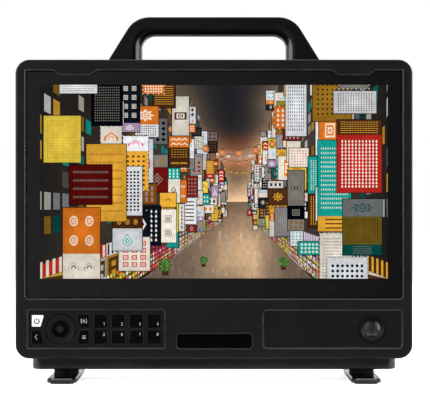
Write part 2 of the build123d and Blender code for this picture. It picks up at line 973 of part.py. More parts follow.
def make_video_sockets():
    """Bayonet sockets for coaxial video cables."""
    far = socket_plate_far + video_socket_length
    collar_far = socket_plate_far + video_collar_thickness
    lug_root = (video_bore_radius + video_socket_radius) / 2
    sockets = []
    for x in video_socket_places():
        collar = Pos(x, bay_z) * RegularPolygon(video_collar_radius, 6)
        socket = slab(disc(x, bay_z, video_socket_radius), socket_board_far, far)
        socket += slab(collar, socket_plate_far, collar_far)
        socket -= slab(disc(x, bay_z, video_bore_radius), far - video_bore_length, far)
        insulator = disc(x, bay_z, video_insulator_radius)
        socket += slab(insulator, far - video_bore_length, far - video_insulator_setback)
        for side in (-1, 1):
            start = (x, depth_y(far - video_lug_setback), bay_z + side * lug_root)
            socket += bar(start, (0, 0, side), video_lug_radius, video_lug_reach - lug_root)
        sockets.append(socket)
    return sockets


def power_socket_floor():
    """How deep the floor of the power inlet's cup lies."""
    return socket_board_far + socket_back_wall


def make_power_socket():
    """The power inlet's cup with its square flange."""
    far = socket_plate_far + power_flange_thickness
    width = power_flange_width
    flange = around(power_socket_x, bay_z, width, power_flange_height, power_flange_corner)
    socket = slab(flange, socket_plate_far, far)
    socket += slab(disc(power_socket_x, bay_z, power_cup_radius), socket_board_far, socket_plate_far)
    return socket - slab(disc(power_socket_x, bay_z, power_bore_radius), power_socket_floor(), far)


def make_power_pins():
    """The four pins that stand on the floor of the power inlet's cup."""
    spacing = power_pin_circle * math.sqrt(2)
    far = socket_plate_far + power_flange_thickness - socket_pin_setback
    pins = []
    for x, z in corners_of(power_socket_x, bay_z, spacing, spacing):
        pins.append(slab(disc(x, z, power_pin_radius), power_socket_floor(), far))
    return pins


def make_network_socket():
    far = socket_plate_far + socket_proud
    socket = slab(network_outline(0), socket_board_far, far)
    hole = around(network_socket_x, bay_z, network_hole_width, network_hole_height)
    return socket - slab(hole, socket_board_far + socket_back_wall, far)


def make_hdmi_socket():
    far = socket_plate_far + socket_proud
    floor = socket_board_far + socket_back_wall
    hole = around(hdmi_socket_x, bay_z, hdmi_hole_width, hdmi_hole_height, hdmi_hole_corner)
    tongue = around(hdmi_socket_x, bay_z, hdmi_tongue_width, hdmi_tongue_height)
    socket = slab(hdmi_outline(0), socket_board_far, far)
    socket -= slab(hole, floor, far)
    return socket + slab(tongue, floor, far - socket_pin_setback)


def make_audio_socket():
    far = socket_plate_far + socket_proud
    socket = slab(disc(audio_socket_x, bay_z, audio_socket_radius), socket_board_far, far)
    hole = disc(audio_socket_x, bay_z, audio_hole_radius)
    return socket - slab(hole, socket_board_far + socket_back_wall, far)


def make_fan_frames():
    """Square fan frames, each with a round duct and a motor seat on three struts."""
    duct_outline = around(0, 0, fan_size, fan_size, fan_corner) - disc(0, 0, fan_duct_radius)
    frame = slab(duct_outline, fan_near, fan_far)
    strut = around((fan_duct_radius + fan_stator_radius) / 2, 0, fan_duct_radius, fan_strut_width)
    for turn in range(3):
        strut_part = slab(strut, fan_near, fan_near + fan_strut_depth)
        frame += Rot(0, turn * 120, 0) * strut_part
    stator_far = fan_far - fan_hub_setback - fan_hub_wall - fan_stator_gap
    frame += slab(disc(0, 0, fan_stator_radius), fan_near, stator_far)
    frame -= slab(disc(0, 0, fan_shaft_radius + shaft_gap), fan_near + fan_strut_depth, stator_far)
    hole = m3_radius + screw_gap
    spacing = fan_size - 2 * fan_hole_inset
    frame -= [slab(disc(x, z, hole), fan_near, fan_far) for x, z in corners_of(0, 0, spacing, spacing)]
    return [Pos(x, 0, fan_z) * frame for x in (-fan_centre, fan_centre)]


def fan_blade():
    """One twisted blade, lofted from its root up to a square tip."""
    middle_y = depth_y((fan_near + fan_strut_depth + fan_far) / 2)
    root_radius = fan_hub_radius - fan_hub_wall / 2
    sections = []
    for radius, pitch in ((root_radius, fan_root_angle), (fan_duct_radius, fan_tip_angle)):
        angle = math.radians(pitch)
        along = (math.cos(angle), math.sin(angle), 0)
        plane = Plane(origin=(0, middle_y, radius), x_dir=along, z_dir=(0, 0, 1))
        sections.append(plane * Rectangle(fan_blade_chord, fan_blade_thickness))
    return loft(sections, ruled=True)


def make_fan_rotor(x):
    """A cupped hub on its shaft, with the blades cut to the duct's circle."""
    hub_far = fan_far - fan_hub_setback
    cup_floor = hub_far - fan_hub_wall
    cup_near = fan_near + fan_strut_depth + fan_running_gap
    blade = fan_blade() & slab(disc(0, 0, fan_blade_radius), fan_near, fan_far)
    rotor = slab(disc(0, 0, fan_hub_radius), cup_near, hub_far)
    for turn in range(fan_blades):
        rotor += Rot(0, turn * 360 / fan_blades, 0) * blade
    rotor -= slab(disc(0, 0, fan_hub_radius - fan_hub_wall), fan_near, cup_floor)
    rotor += slab(disc(0, 0, fan_shaft_radius), cup_near, cup_floor)
    return Pos(x, 0, fan_z) * rotor


def make_rear_screws():
    """The pan-headed screws that show at the back, for the fans and for the socket plate."""
    back = (0, 1, 0)
    fan_screw = pan_screw(m3_radius, m3_head_radius, m3_head_height, fan_screw_length)
    plate_screw = pan_screw(m3_radius, m3_head_radius, m3_head_height, m3_length)
    screws = [placed(fan_screw, (x, depth_y(case_depth), z), back) for x, z in fan_screw_places()]
    screws += [placed(plate_screw, (x, depth_y(socket_plate_far), z), back) for x, z in bay_screw_places()]
    return screws


def make_case_screws():
    screw = countersunk_screw(m3_radius, case_screw_head, case_screw_length)
    return [placed(screw, *place) for place in case_screw_places()]


def number_key_places():
    """The centres of the eight number keys, the upper row first."""
    places = []
    for row in (0.5, -0.5):
        for column in range(key_columns):
            x = keys_left + key_width / 2 + column * key_pitch
            places.append((x, control_z + row * button_row_pitch))
    return places


def number_key_outline(place, grow):
    """A number key's outline, grown on every side."""
    x, z = place
    return around(x, z, key_width + 2 * grow, button_height + 2 * grow, button_corner + grow)


def side_key_outline(side, row, grow):
    """A key beside the joystick, with the edge that faces it slanted, grown on every side."""
    near_z = (button_row_pitch - button_height) / 2
    far_z = near_z + button_height
    lean = (side_key_near - side_key_far) / button_height
    slant = grow * math.hypot(1, lean)
    corners = [
        (side_key_outer + grow, near_z - grow),
        (side_key_outer + grow, far_z + grow),
        (side_key_far - slant - lean * grow, far_z + grow),
        (side_key_near - slant + lean * grow, near_z - grow),
    ]
    points = [(joystick_x + side * x, control_z + row * z) for x, z in corners]
    outline = make_face(Polyline(*points, close=True))
    return fillet(outline.vertices(), button_corner + grow)


def side_key_stem(side, row):
    """The middle of a key beside the joystick."""
    x = (side_key_outer + (side_key_far + side_key_near) / 2) / 2
    return (joystick_x + side * x, control_z + row * button_row_pitch / 2)


side_keys = {
    "button_power": (-1, 1),
    "button_back": (-1, -1),
    "button_touch": (1, 1),
    "button_menu": (1, -1),
}


def button_outlines(grow):
    """Every button's outline by its name, grown on every side."""
    outlines = {name: side_key_outline(*place, grow) for name, place in side_keys.items()}
    for number, place in enumerate(number_key_places(), start=1):
        outlines[f"button_{number}"] = number_key_outline(place, grow)
    return outlines


def button_stems():
    """The centre of every button's stem and of the switch behind it."""
    stems = {name: side_key_stem(*place) for name, place in side_keys.items()}
    for number, place in enumerate(number_key_places(), start=1):
        stems[f"button_{number}"] = place
    return stems


def make_buttons():
    """Caps that stand just proud of the panel, flanged behind it, each with a stem to its switch."""
    caps = button_outlines(0)
    flanges = button_outlines(button_flange)
    buttons = {}
    for name, (x, z) in button_stems().items():
        button = slab(caps[name], button_near, flange_far)
        button = chamfer(button.faces().sort_by(Axis.Y)[0].edges(), button_edge)
        button += slab(flanges[name], flange_near, flange_far)
        buttons[name] = button + slab(disc(x, z, stem_radius), flange_far, stem_end)
    return buttons


def make_control_plate():
    outline = panel_outline(control_x, control_width, panel_gap, panel_corner)
    plate = slab(outline, panel_near, panel_seat)
    openings = list(button_outlines(button_gap).values())
    openings.append(disc(joystick_x, control_z, dish_hole_radius))
    return plate - [slab(opening, panel_near, panel_seat) for opening in openings]


def make_key_board():
    """The board behind the keys, with a small push switch under each stem."""
    corner = case_corner - frame_rim
    outline = block(key_board_left, key_board_right_x, key_board_bottom, key_board_top, corner)
    for x, z in key_board_screw_places():
        outline -= disc(x, z, m3_radius + screw_gap)
    board = slab(outline, key_board_depth, key_board_far)
    for x, z in button_stems().values():
        board += slab(around(x, z, switch_size, switch_size), switch_far, key_board_depth)
        board += slab(disc(x, z, switch_button_radius), switch_near, switch_far)
    return board


def make_joystick_dish():
    """The dished ring round the joystick, on a skirt that stands on the key board."""
    bow = (dish_inner_radius + dish_radius) / 2
    bow_depth = dish_floor_depth - dish_bow_share * (dish_floor_depth - dish_rim_depth)
    back = dish_floor_depth + dish_thickness
    inner = (dish_inner_radius, dish_floor_depth)
    lip = (dish_radius - dish_lip, dish_rim_depth)
    edges = [
        ThreePointArc(inner, (bow, bow_depth), lip),
        Polyline(
            lip,
            (dish_radius, dish_rim_depth + dish_lip_drop),
            (dish_radius, key_board_depth),
            (dish_radius - dish_skirt, key_board_depth),
            (dish_radius - dish_skirt, back),
            (dish_inner_radius, back),
            inner,
        ),
    ]
    return turned(joystick_x, control_z, edges)


def joystick_bar(direction, start, end, radius):
    """A round bar through the joystick's pivot, level or upright, between two distances."""
    x, z = direction
    origin = (joystick_x + x * start, depth_y(pivot_depth), control_z + z * start)
    return bar(origin, (x, 0, z), radius, end - start)


def make_joystick_base():
    """The open box that carries the tilting ring on its two level trunnions."""
    outer = around(joystick_x, control_z, 2 * base_half, 2 * base_half, base_corner)
    cavity = around(joystick_x, control_z, 2 * base_cavity_half, 2 * base_cavity_half)
    near = pivot_depth - base_rise
    base = slab(outer, near, key_board_depth)
    base -= slab(cavity, near, key_board_depth - base_floor)
    return base - joystick_bar((1, 0), -base_half, base_half, trunnion_radius + shaft_gap)


def make_joystick_ring():
    """The ring that tilts up and down, and in turn carries the rocker on upright trunnions."""
    near = pivot_depth - ring_thickness / 2
    far = pivot_depth + ring_thickness / 2
    ring = slab(around(joystick_x, control_z, 2 * ring_half, 2 * ring_half, ring_corner), near, far)
    ring -= slab(around(joystick_x, control_z, 2 * ring_inner_half, 2 * ring_inner_half), near, far)
    ring -= joystick_bar((0, 1), -ring_half, ring_half, trunnion_radius + shaft_gap)
    for side in (-1, 1):
        start = (ring_half + ring_inner_half) / 2
        ring += joystick_bar((side, 0), start, trunnion_reach, trunnion_radius)
    return ring


def make_joystick_rocker():
    """The sleeve that tilts left and right and guides the stick as it is pressed."""
    near = pivot_depth - rocker_half_height
    far = pivot_depth + rocker_half_height
    rocker = slab(disc(joystick_x, control_z, rocker_radius), near, far)
    for side in (-1, 1):
        rocker += joystick_bar((0, side), (stick_radius + rocker_radius) / 2, rocker_reach, trunnion_radius)
    return rocker - slab(disc(joystick_x, control_z, stick_radius + shaft_gap), near, far)


def make_joystick_stick():
    """The steel stick, with the collar that its cap seats on."""
    outline = disc(joystick_x, control_z, stick_radius)
    stick = slab(outline, cap_far - cap_socket_depth, pivot_depth + stick_tail)
    collar = disc(joystick_x, control_z, collar_radius)
    return stick + slab(collar, cap_far, cap_far + collar_thickness)


def make_joystick_cap():
    """The rubber cap, a steep cone under a low dome."""
    shoulder = cap_near + cap_dome
    halfway = (cap_top_radius / 2, cap_near + cap_dome / 4)
    edges = [
        ThreePointArc((0, cap_near), halfway, (cap_top_radius, shoulder)),
        Polyline(
            (cap_top_radius, shoulder),
            (cap_base_radius, cap_far - cap_foot),
            (cap_base_radius, cap_far),
            (stick_radius, cap_far),
            (stick_radius, cap_far - cap_socket_depth),
            (0, cap_far - cap_socket_depth),
            (0, cap_near),
        ),
    ]
    return turned(joystick_x, control_z, edges)


def make_name_plate():
    near = name_plate_seat - name_plate_thickness
    return slab(name_plate_outline(name_plate_gap), near, name_plate_seat)


def make_speaker_cover():
    outline = panel_outline(cover_x, cover_width, panel_gap, cover_corner)
    cover = slab(outline, panel_near, panel_seat)
    funnel_points = [
        (0, panel_near),
        (speaker_funnel_radius, panel_near),
        (speaker_throat_radius, panel_seat),
        (0, panel_seat),
    ]
    return cover - turned_points(speaker_x, control_z, funnel_points)


def make_speaker_grille():
    """Level slats with a domed front, crossed by one rib, in a ring behind the cover."""
    far = panel_seat + speaker_ring_thickness
    inner = speaker_throat_radius - grille_overlap
    outer = disc(speaker_x, control_z, speaker_ring_radius)
    ring = slab(outer - disc(speaker_x, control_z, inner), panel_seat, far)
    bow = inner * grille_bow_share
    bow_depth = slat_near + (panel_seat - slat_near) * grille_bow_share**2
    dome = turned(
        speaker_x,
        control_z,
        [
            ThreePointArc((0, slat_near), (bow, bow_depth), (inner, panel_seat)),
            Polyline((inner, panel_seat), (inner, far), (0, far), (0, slat_near)),
        ],
    )
    reach = 2 * speaker_throat_radius
    outlines = [around(speaker_x - rib_offset, control_z, slat_thickness, reach)]
    for step in range(slat_count):
        z = control_z + (step - (slat_count - 1) / 2) * slat_pitch
        outlines.append(around(speaker_x, z, reach, slat_thickness))
    return ring + [dome & slab(outline, slat_near, far) for outline in outlines]


def make_speaker_driver():
    """The loudspeaker behind the grille: a flanged basket, its cone and its magnet."""
    seat_far = frame_plate + driver_flange
    points = [
        (0, frame_plate + driver_cone_drop - driver_cap_rise),
        (driver_cap_radius, frame_plate + driver_cone_drop),
        (speaker_ring_radius, frame_plate),
        (driver_radius, frame_plate),
        (driver_radius, seat_far),
        (driver_radius - driver_flange_width, seat_far),
        (driver_magnet_radius, frame_plate + driver_depth / 2),
        (driver_magnet_radius, frame_plate + driver_depth),
        (0, frame_plate + driver_depth),
    ]
    return turned_points(speaker_x, control_z, points)


def make_handle():
    """A bent grip with flared feet, rounded where the hand closes round it."""
    half_foot = handle_foot_span / 2
    half_shoulder = handle_shoulder_span / 2
    outline = make_face(
        Polyline(
            (-half_foot, housing_top),
            (half_foot, housing_top),
            (half_shoulder, handle_top_z),
            (-half_shoulder, handle_top_z),
            close=True,
        )
    )
    outline = fillet(outline.vertices().sort_by(Axis.Y)[-2:], handle_shoulder_radius)
    half_gap = handle_opening / 2
    gap_low = housing_top - 2 * handle_opening_corner
    outline -= block(-half_gap, half_gap, gap_low, handle_under_z, handle_opening_corner)
    handle = slab(outline, handle_near, handle_near + handle_width)

    handle = fillet(handle_face_edges(handle, True), handle_inner_fillet)
    handle = chamfer(handle_face_edges(handle, False), handle_outer_chamfer)
    hole_length = handle_screw_length - housing_wall + screw_reserve
    for x, y in handle_screw_places():
        handle -= bar((x, y, housing_top), (0, 0, 1), handle_screw_radius + screw_gap, hole_length)
    return handle


def handle_face_edges(handle, inside):
    """The edges of the handle's front and back faces, round its opening or round its outside."""
    chosen = []
    for edge in handle.edges():
        middle = edge.center()
        on_face = abs(abs(middle.Y - handle_y) - handle_width / 2) < 0.01
        above = middle.Z > housing_top + 0.01
        beside = abs(middle.X) < handle_opening / 2 + 0.1 and middle.Z < handle_under_z + 0.1
        near = abs(middle.X) < handle_opening / 2 + handle_inner_fillet + 0.5
        round_opening = near and middle.Z < handle_top_z - handle_grip / 3
        if on_face and above and (beside if inside else not round_opening):
            chosen.append(edge)
    return chosen


def make_handle_screws():
    """Screws that come up through the housing's roof into the handle."""
    head_height = handle_screw_head_height
    screw = pan_screw(handle_screw_radius, handle_screw_head_radius, head_height, handle_screw_length)
    roof = housing_top - housing_wall
    return [placed(screw, (x, y, roof), (0, 0, -1)) for x, y in handle_screw_places()]


def make_bottom_rail():
    """The mounting rail under the case, with tapped holes for stands."""
    outline = Pos(0, rail_y) * RectangleRounded(2 * rail_half_length, rail_width, rail_corner)
    rail = layer(outline, rail_bottom, housing_bottom)
    rail = chamfer(rail.faces().sort_by(Axis.Z)[0].edges(), rail_chamfer)
    up = (0, 0, 1)
    rail -= bar((0, rail_y, rail_bottom), up, three_eighth_hole_radius, rail_hole_depth)
    for side in (-0.5, 0.5):
        start = (side * rail_hole_spacing, rail_y, rail_bottom)
        rail -= bar(start, up, quarter_hole_radius, rail_hole_depth)
    for x in rail_screw_places():
        start = (x, rail_y, rail_bottom)
        rail -= bar(start, up, rail_screw_head_radius + screw_gap, rail_counterbore)
        rail -= bar(start, up, rail_screw_radius + screw_gap, rail_height)
    foot_hole_length = foot_screw_reach + screw_reserve
    for x, y in foot_screw_places():
        rail -= bar((x, y, rail_bottom), up, foot_screw_radius + screw_gap, foot_hole_length)
    return rail


def make_rail_screws():
    head_height = rail_screw_head_height
    screw = pan_screw(rail_screw_radius, rail_screw_head_radius, head_height, rail_screw_length)
    seat = rail_bottom + rail_counterbore
    return [placed(screw, (x, rail_y, seat), (0, 0, -1)) for x in rail_screw_places()]


def foot_screw_places():
    """Two screws up through each foot, in line along it."""
    return corners_of(0, rail_y, 2 * foot_centre, foot_screw_spacing)


def make_foot(side):
    """A flat bar that runs from front to back under one end of the rail."""
    outline = Pos(side * foot_centre, 0) * RectangleRounded(foot_width, foot_length, foot_corner)
    foot = layer(outline, pad_thickness, foot_top)
    foot = chamfer(foot.faces().sort_by(Axis.Z)[-1].edges(), foot_chamfer)
    gap = screw_gap
    hole = countersunk_screw(foot_screw_radius + gap, foot_screw_head_radius + gap, foot_top)
    for x, y in foot_screw_places():
        if x * side > 0:
            foot -= placed(hole, (x, y, pad_thickness), (0, 0, -1))
    return foot


def make_foot_pads():
    """Rubber pads under the toe and the heel of each foot."""
    pads = []
    middle = foot_length / 2 - pad_inset - pad_length / 2
    for x, y in corners_of(0, 0, 2 * foot_centre, 2 * middle):
        width = foot_width - 2 * pad_inset
        outline = Pos(x, y) * RectangleRounded(width, pad_length, foot_corner - pad_inset)
        pads.append(layer(outline, 0, pad_thickness))
    return pads


def make_foot_spacers():
    """Spacers that keep the feet clear of the rail."""
    slot = SlotOverall(foot_spacer_length, foot_spacer_width, rotation=90)
    spacers = []
    for side in (-1, 1):
        outline = Pos(side * foot_centre, rail_y) * slot
        for x, y in foot_screw_places():
            if x * side > 0:
                outline -= Pos(x, y) * Circle(foot_screw_radius + screw_gap)
        spacers.append(layer(outline, foot_top, rail_bottom))
    return spacers


def make_foot_screws():
    length = rail_bottom - pad_thickness + foot_screw_reach
    screw = countersunk_screw(foot_screw_radius, foot_screw_head_radius, length)
    return [placed(screw, (x, y, pad_thickness), (0, 0, -1)) for x, y in foot_screw_places()]


def all_nodes():
    """Every piece by its name. A list is a group of separate like solids."""
    nodes = {
        "front_frame": make_front_frame(),
        "rear_housing": make_rear_housing(),
        "display_glass": make_display_glass(),
        "glass_gasket": make_glass_gasket(),
        "protector_magnets": make_protector_magnets(),
        "screen_panel": make_screen_panel(),
        "diffuser_sheet": make_diffuser(),
        "led_board": make_led_board(),
        "backlight_tray": make_backlight_tray(),
        "heat_sink": make_heat_sink(),
        "board_spacers": make_board_spacers(),
        "main_board": make_main_board(),
        "power_board": make_power_board(),
        "board_screws": make_board_screws(),
        "fan_frames": make_fan_frames(),
        "fan_left_rotor": make_fan_rotor(-fan_centre),
        "fan_right_rotor": make_fan_rotor(fan_centre),
        "socket_board": make_socket_board(),
        "socket_plate": make_socket_plate(),
        "video_sockets": make_video_sockets(),
        "power_socket": make_power_socket(),
        "power_pins": make_power_pins(),
        "network_socket": make_network_socket(),
        "hdmi_socket": make_hdmi_socket(),
        "audio_socket": make_audio_socket(),
        "rear_screws": make_rear_screws(),
        "case_screws": make_case_screws(),
        "control_plate": make_control_plate(),
        "key_board": make_key_board(),
        "joystick_dish": make_joystick_dish(),
        "joystick_base": make_joystick_base(),
        "joystick_ring": make_joystick_ring(),
        "joystick_rocker": make_joystick_rocker(),
        "joystick_stick": make_joystick_stick(),
        "joystick_cap": make_joystick_cap(),
        "name_plate": make_name_plate(),
        "speaker_cover": make_speaker_cover(),
        "speaker_grille": make_speaker_grille(),
        "speaker_driver": make_speaker_driver(),
        "handle": make_handle(),
        "handle_screws": make_handle_screws(),
        "bottom_rail": make_bottom_rail(),
        "rail_screws": make_rail_screws(),
        "foot_left": make_foot(-1),
        "foot_right": make_foot(1),
        "foot_pads": make_foot_pads(),
        "foot_spacers": make_foot_spacers(),
        "foot_screws": make_foot_screws(),
    }
    nodes.update(make_buttons())
    return nodes


def main():
    os.makedirs("parts", exist_ok=True)
    for name, shape in all_nodes().items():
        solid = Compound(children=shape) if isinstance(shape, list) else shape
        export_step(solid, f"parts/{name}.step")


if __name__ == "__main__":
    main()
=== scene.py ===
"""Looks of a production monitor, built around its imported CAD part."""

import math

import bpy
import numpy as np
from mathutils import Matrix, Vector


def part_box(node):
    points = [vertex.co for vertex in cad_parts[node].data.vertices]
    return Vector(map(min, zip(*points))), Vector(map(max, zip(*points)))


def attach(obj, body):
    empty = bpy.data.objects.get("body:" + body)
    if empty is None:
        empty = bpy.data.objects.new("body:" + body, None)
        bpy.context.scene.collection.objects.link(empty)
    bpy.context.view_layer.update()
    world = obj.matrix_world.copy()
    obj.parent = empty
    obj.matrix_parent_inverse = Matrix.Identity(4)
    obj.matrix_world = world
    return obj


bl_info = {
    "name": "Production monitor looks",
    "version": (1, 0, 0),
    "blender": (4, 5, 0),
    "location": "View3D > Sidebar > Monitor",
    "description": "Finishes, lit picture, key signs and studio of a production monitor",
    "category": "Object",
}

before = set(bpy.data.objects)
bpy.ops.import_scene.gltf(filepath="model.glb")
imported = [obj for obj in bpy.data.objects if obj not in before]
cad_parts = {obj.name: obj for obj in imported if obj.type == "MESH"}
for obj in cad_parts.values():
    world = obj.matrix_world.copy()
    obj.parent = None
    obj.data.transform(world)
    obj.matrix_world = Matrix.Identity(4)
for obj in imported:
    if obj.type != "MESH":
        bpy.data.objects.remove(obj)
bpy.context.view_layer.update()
MM = 0.001

GLASS_LOW, GLASS_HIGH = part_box("display_glass")
PANEL_LOW, PANEL_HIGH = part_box("screen_panel")
PANEL_MARGIN = 2.0 * MM
PICTURE_MIDDLE_Z = (PANEL_LOW.z + PANEL_HIGH.z) / 2
PICTURE_WIDTH = PANEL_HIGH.x - PANEL_LOW.x - 2 * PANEL_MARGIN
PICTURE_HEIGHT = PANEL_HIGH.z - PANEL_LOW.z - 2 * PANEL_MARGIN
CASE_FRONT_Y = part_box("front_frame")[0].y
PRINT_THICKNESS = 0.02 * MM


# Settings that a user would change.

LENGTH = {"unit": "LENGTH", "precision": 5}
SHARE = {"subtype": "FACTOR", "max": 1.0}
POWER = {"unit": "POWER"}


def setting(name, description, default, **kind):
    """A setting as the panel shows it: a colour where the default is three numbers, or else a number."""
    if isinstance(default, tuple):
        return bpy.props.FloatVectorProperty(
            name=name, description=description, default=default, subtype="COLOR", min=0.0, max=1.0
        )
    return bpy.props.FloatProperty(name=name, description=description, default=default, min=0.0, **kind)


class MonitorCaseSettings(bpy.types.PropertyGroup):
    """Colours and texture of the coated case."""

    case_colour: setting("Case", "Coating of the case", (0.0040, 0.0040, 0.0038))
    handle_colour: setting("Handle", "Coating of the handle", (0.0008, 0.0008, 0.0008))
    foot_colour: setting("Feet", "Coating of the feet", (0.0006, 0.0006, 0.0006))
    # The worn colour also paints the even highlight line along every edge.
    worn_colour: setting("Worn edge and highlight", "Colour of rubbed edges and of the painted edge highlight", (0.16, 0.16, 0.156))
    grain_size: setting("Grain", "Size of the coating's grain", 0.45 * MM, **LENGTH)
    wear_width: setting("Wear", "Reach of the wear from an edge", 0.45 * MM, **LENGTH)
    wear_amount: setting("Wear amount", "How far the edges are worn", 0.28, **SHARE)
    # A painted highlight: this share of the worn colour is laid evenly along every edge, where light catches
    # the chamfers.
    edge_light: setting("Edge highlight", "Strength of the painted highlight along every edge", 0.50, **SHARE)


class MonitorControlSettings(bpy.types.PropertyGroup):
    """Colours of the keys and of their signs."""

    plate_colour: setting("Plate", "Control plate", (0.0030, 0.0030, 0.0028))
    key_colour: setting("Key", "Smooth faces of the keys", (0.0008, 0.0008, 0.0008))
    sign_colour: setting("Sign", "Printed signs", (0.44, 0.44, 0.43))
    lit_colour: setting("Lit key", "Light of the power key", (0.93, 0.94, 0.95))
    sign_height: setting("Sign height", "Print above the key's face", 0.03 * MM, **LENGTH)
    number_height: setting("Number height", "Height of a number", 2.3 * MM, **LENGTH)
    stroke_width: setting("Stroke", "Width of a sign's stroke", 0.22 * MM, **LENGTH)


class MonitorPictureSettings(bpy.types.PropertyGroup):
    """The generic picture on the screen."""

    brightness: setting("Brightness", "Strength of the picture's light", 1.0, **SHARE)
    pattern_seed: bpy.props.IntProperty(
        name="Pattern", description="Draws another set of lit boards", default=11, min=0
    )


class MonitorMetalSettings(bpy.types.PropertyGroup):
    """Colours of bare metal, rubber and boards."""

    aluminium_colour: setting("Aluminium", "Bare aluminium", (0.62, 0.63, 0.64))
    steel_colour: setting("Steel", "Plated steel", (0.50, 0.50, 0.49))
    brass_colour: setting("Contact metal", "Gold plated contacts", (0.76, 0.55, 0.22))
    board_colour: setting("Board", "Lacquer of the circuit boards", (0.012, 0.085, 0.035))
    rubber_colour: setting("Rubber", "Rubber pads and gasket", (0.0045, 0.0045, 0.0046))


class MonitorStageSettings(bpy.types.PropertyGroup):
    """Camera, floor and light."""

    camera_distance: setting("Camera distance", "From the lens to the case's front", 1.45, **LENGTH)
    camera_height: setting("Camera height", "Lens above the floor", 0.154, **LENGTH)
    camera_side: setting("Camera side", "Lens to the right of the middle", 0.00085, **LENGTH)
    view_width: setting("View width", "Width seen at the case's front", 0.3641, **LENGTH)
    floor_colour: setting("Floor", "Pale floor", (0.80, 0.80, 0.80))
    sheet_front: setting("Sheet front", "The floor's edge in front of the object", 0.5, **LENGTH)
    sheet_reach: setting("Sheet reach", "Pale part of the floor in front, as gloss shows it", 0.097, **LENGTH)
    top_power: setting("Top lamp", "Soft box above the object", 12.0, **POWER)
    key_power: setting("Key lamp", "Soft box at the front left", 2.5, **POWER)
    edge_power: setting("Edge lamp", "Narrow soft box high above the case's upper edge", 5.0, **POWER)
    side_power: setting("Side lamps", "Broad upright soft box at each side", 40.0, **POWER)
    fill_power: setting("Fill lamp", "Soft box behind the object", 18.0, **POWER)
    bounce_power: setting("Bounce", "Low soft box in front, for edges that face down", 7.0, **POWER)
    room_light: setting("Room light", "Light that comes from all sides", 0.08, **SHARE)


# Shader nodes.


def grey(value):
    """A grey colour."""
    return (value, value, value)


def lighter(colour, factor):
    """A colour made lighter or darker by a factor, and never beyond white."""
    return tuple(min(1.0, part * factor) for part in tuple(colour)[:3])


def middle_of(node):
    """The middle of a CAD node in x and z."""
    low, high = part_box(node)
    return (low.x + high.x) / 2, (low.z + high.z) / 2


class Nodes:
    """Adds nodes to a tree. An input given as a socket is linked, and any other value is set."""

    def __init__(self, tree):
        self.tree = tree

    def join(self, value, socket):
        """Gives a socket its input. A colour that is set is opaque."""
        if isinstance(value, bpy.types.NodeSocket):
            self.tree.links.new(value, socket)
        elif socket.type == "RGBA":
            socket.default_value = (*tuple(value)[:3], 1.0)
        else:
            socket.default_value = value

    def put(self, kind, inputs=None, **settings):
        """The outputs of a new node."""
        node = self.tree.nodes.new("ShaderNode" + kind)
        for key, value in settings.items():
            setattr(node, key, value)
        for key, value in (inputs or {}).items():
            self.join(value, node.inputs[key])
        return node.outputs

    def math(self, operation, first, second=0.0, third=0.0, clamp=False):
        """The result of one Math node."""
        inputs = {0: first, 1: second, 2: third}
        return self.put("Math", inputs, operation=operation, use_clamp=clamp)[0]

    def times(self, first, second):
        """A product."""
        return self.math("MULTIPLY", first, second)

    def times_plus(self, first, second, third, clamp=False):
        """A product with a third value added."""
        return self.math("MULTIPLY_ADD", first, second, third, clamp)

    def per(self, size):
        """The scale of a texture whose cells have a size."""
        return self.math("DIVIDE", 1.0, size)

    def vector(self, operation, first, second=(0.0, 0.0, 0.0)):
        """The outputs of one Vector Math node."""
        return self.put("VectorMath", {0: first, 1: second}, operation=operation)

    def axes(self, vector):
        """A vector's X, Y and Z."""
        return self.put("SeparateXYZ", {"Vector": vector})

    def smooth(self, value, low, high, to_low=0.0, to_high=1.0):
        """A value that runs smoothly from to_low to to_high as the input goes from low to high."""
        inputs = {"Value": value, "From Min": low, "From Max": high, "To Min": to_low, "To Max": to_high}
        return self.put("MapRange", inputs, interpolation_type="SMOOTHSTEP")["Result"]

    def mix(self, share, first, second, blend_type="MIX"):
        """Two colours mixed by a share."""
        inputs = {0: share, 6: first, 7: second}
        return self.put("Mix", inputs, data_type="RGBA", blend_type=blend_type)[2]

    def mottled(self, grain, colour, low, high):
        """A colour that the mottling of its grain makes darker and lighter, by two factors."""
        return self.mix(grain["Mottle"], lighter(colour, low), lighter(colour, high))

    def place(self):
        """The place on the object, in metres."""
        return self.put("TexCoord")["Object"]

    def from_axis(self, x, z, both_sides=False):
        """Distance from a line that runs from front to back at x, z, and at -x, z too for both sides."""
        place = self.place()
        if both_sides:
            place = self.vector("ABSOLUTE", place)[0]
        flat = self.vector("MULTIPLY", place, (1.0, 0.0, 1.0))[0]
        return self.vector("DISTANCE", flat, (x, 0.0, z))["Value"]

    def noise(self, place, scale, detail=2.0, roughness=0.5):
        """The value of a noise texture."""
        inputs = {"Vector": place, "Scale": scale, "Detail": detail, "Roughness": roughness}
        return self.put("TexNoise", inputs)[0]

    def bump(self, height, distance):
        """A normal bent by a height in metres."""
        return self.put("Bump", {"Height": height, "Distance": distance, "Strength": 1.0})[0]

    def group(self, maker, **values):
        """The outputs of a shared group, which is filled by its maker when it is first asked for."""
        name = maker.__name__.replace("_", " ").capitalize()
        node = self.tree.nodes.new("ShaderNodeGroup")
        node.node_tree = bpy.data.node_groups.get(name) or fill_group(name, maker, values)
        for key, value in values.items():
            node.inputs[key.replace("_", " ").title()].default_value = value
        return node.outputs


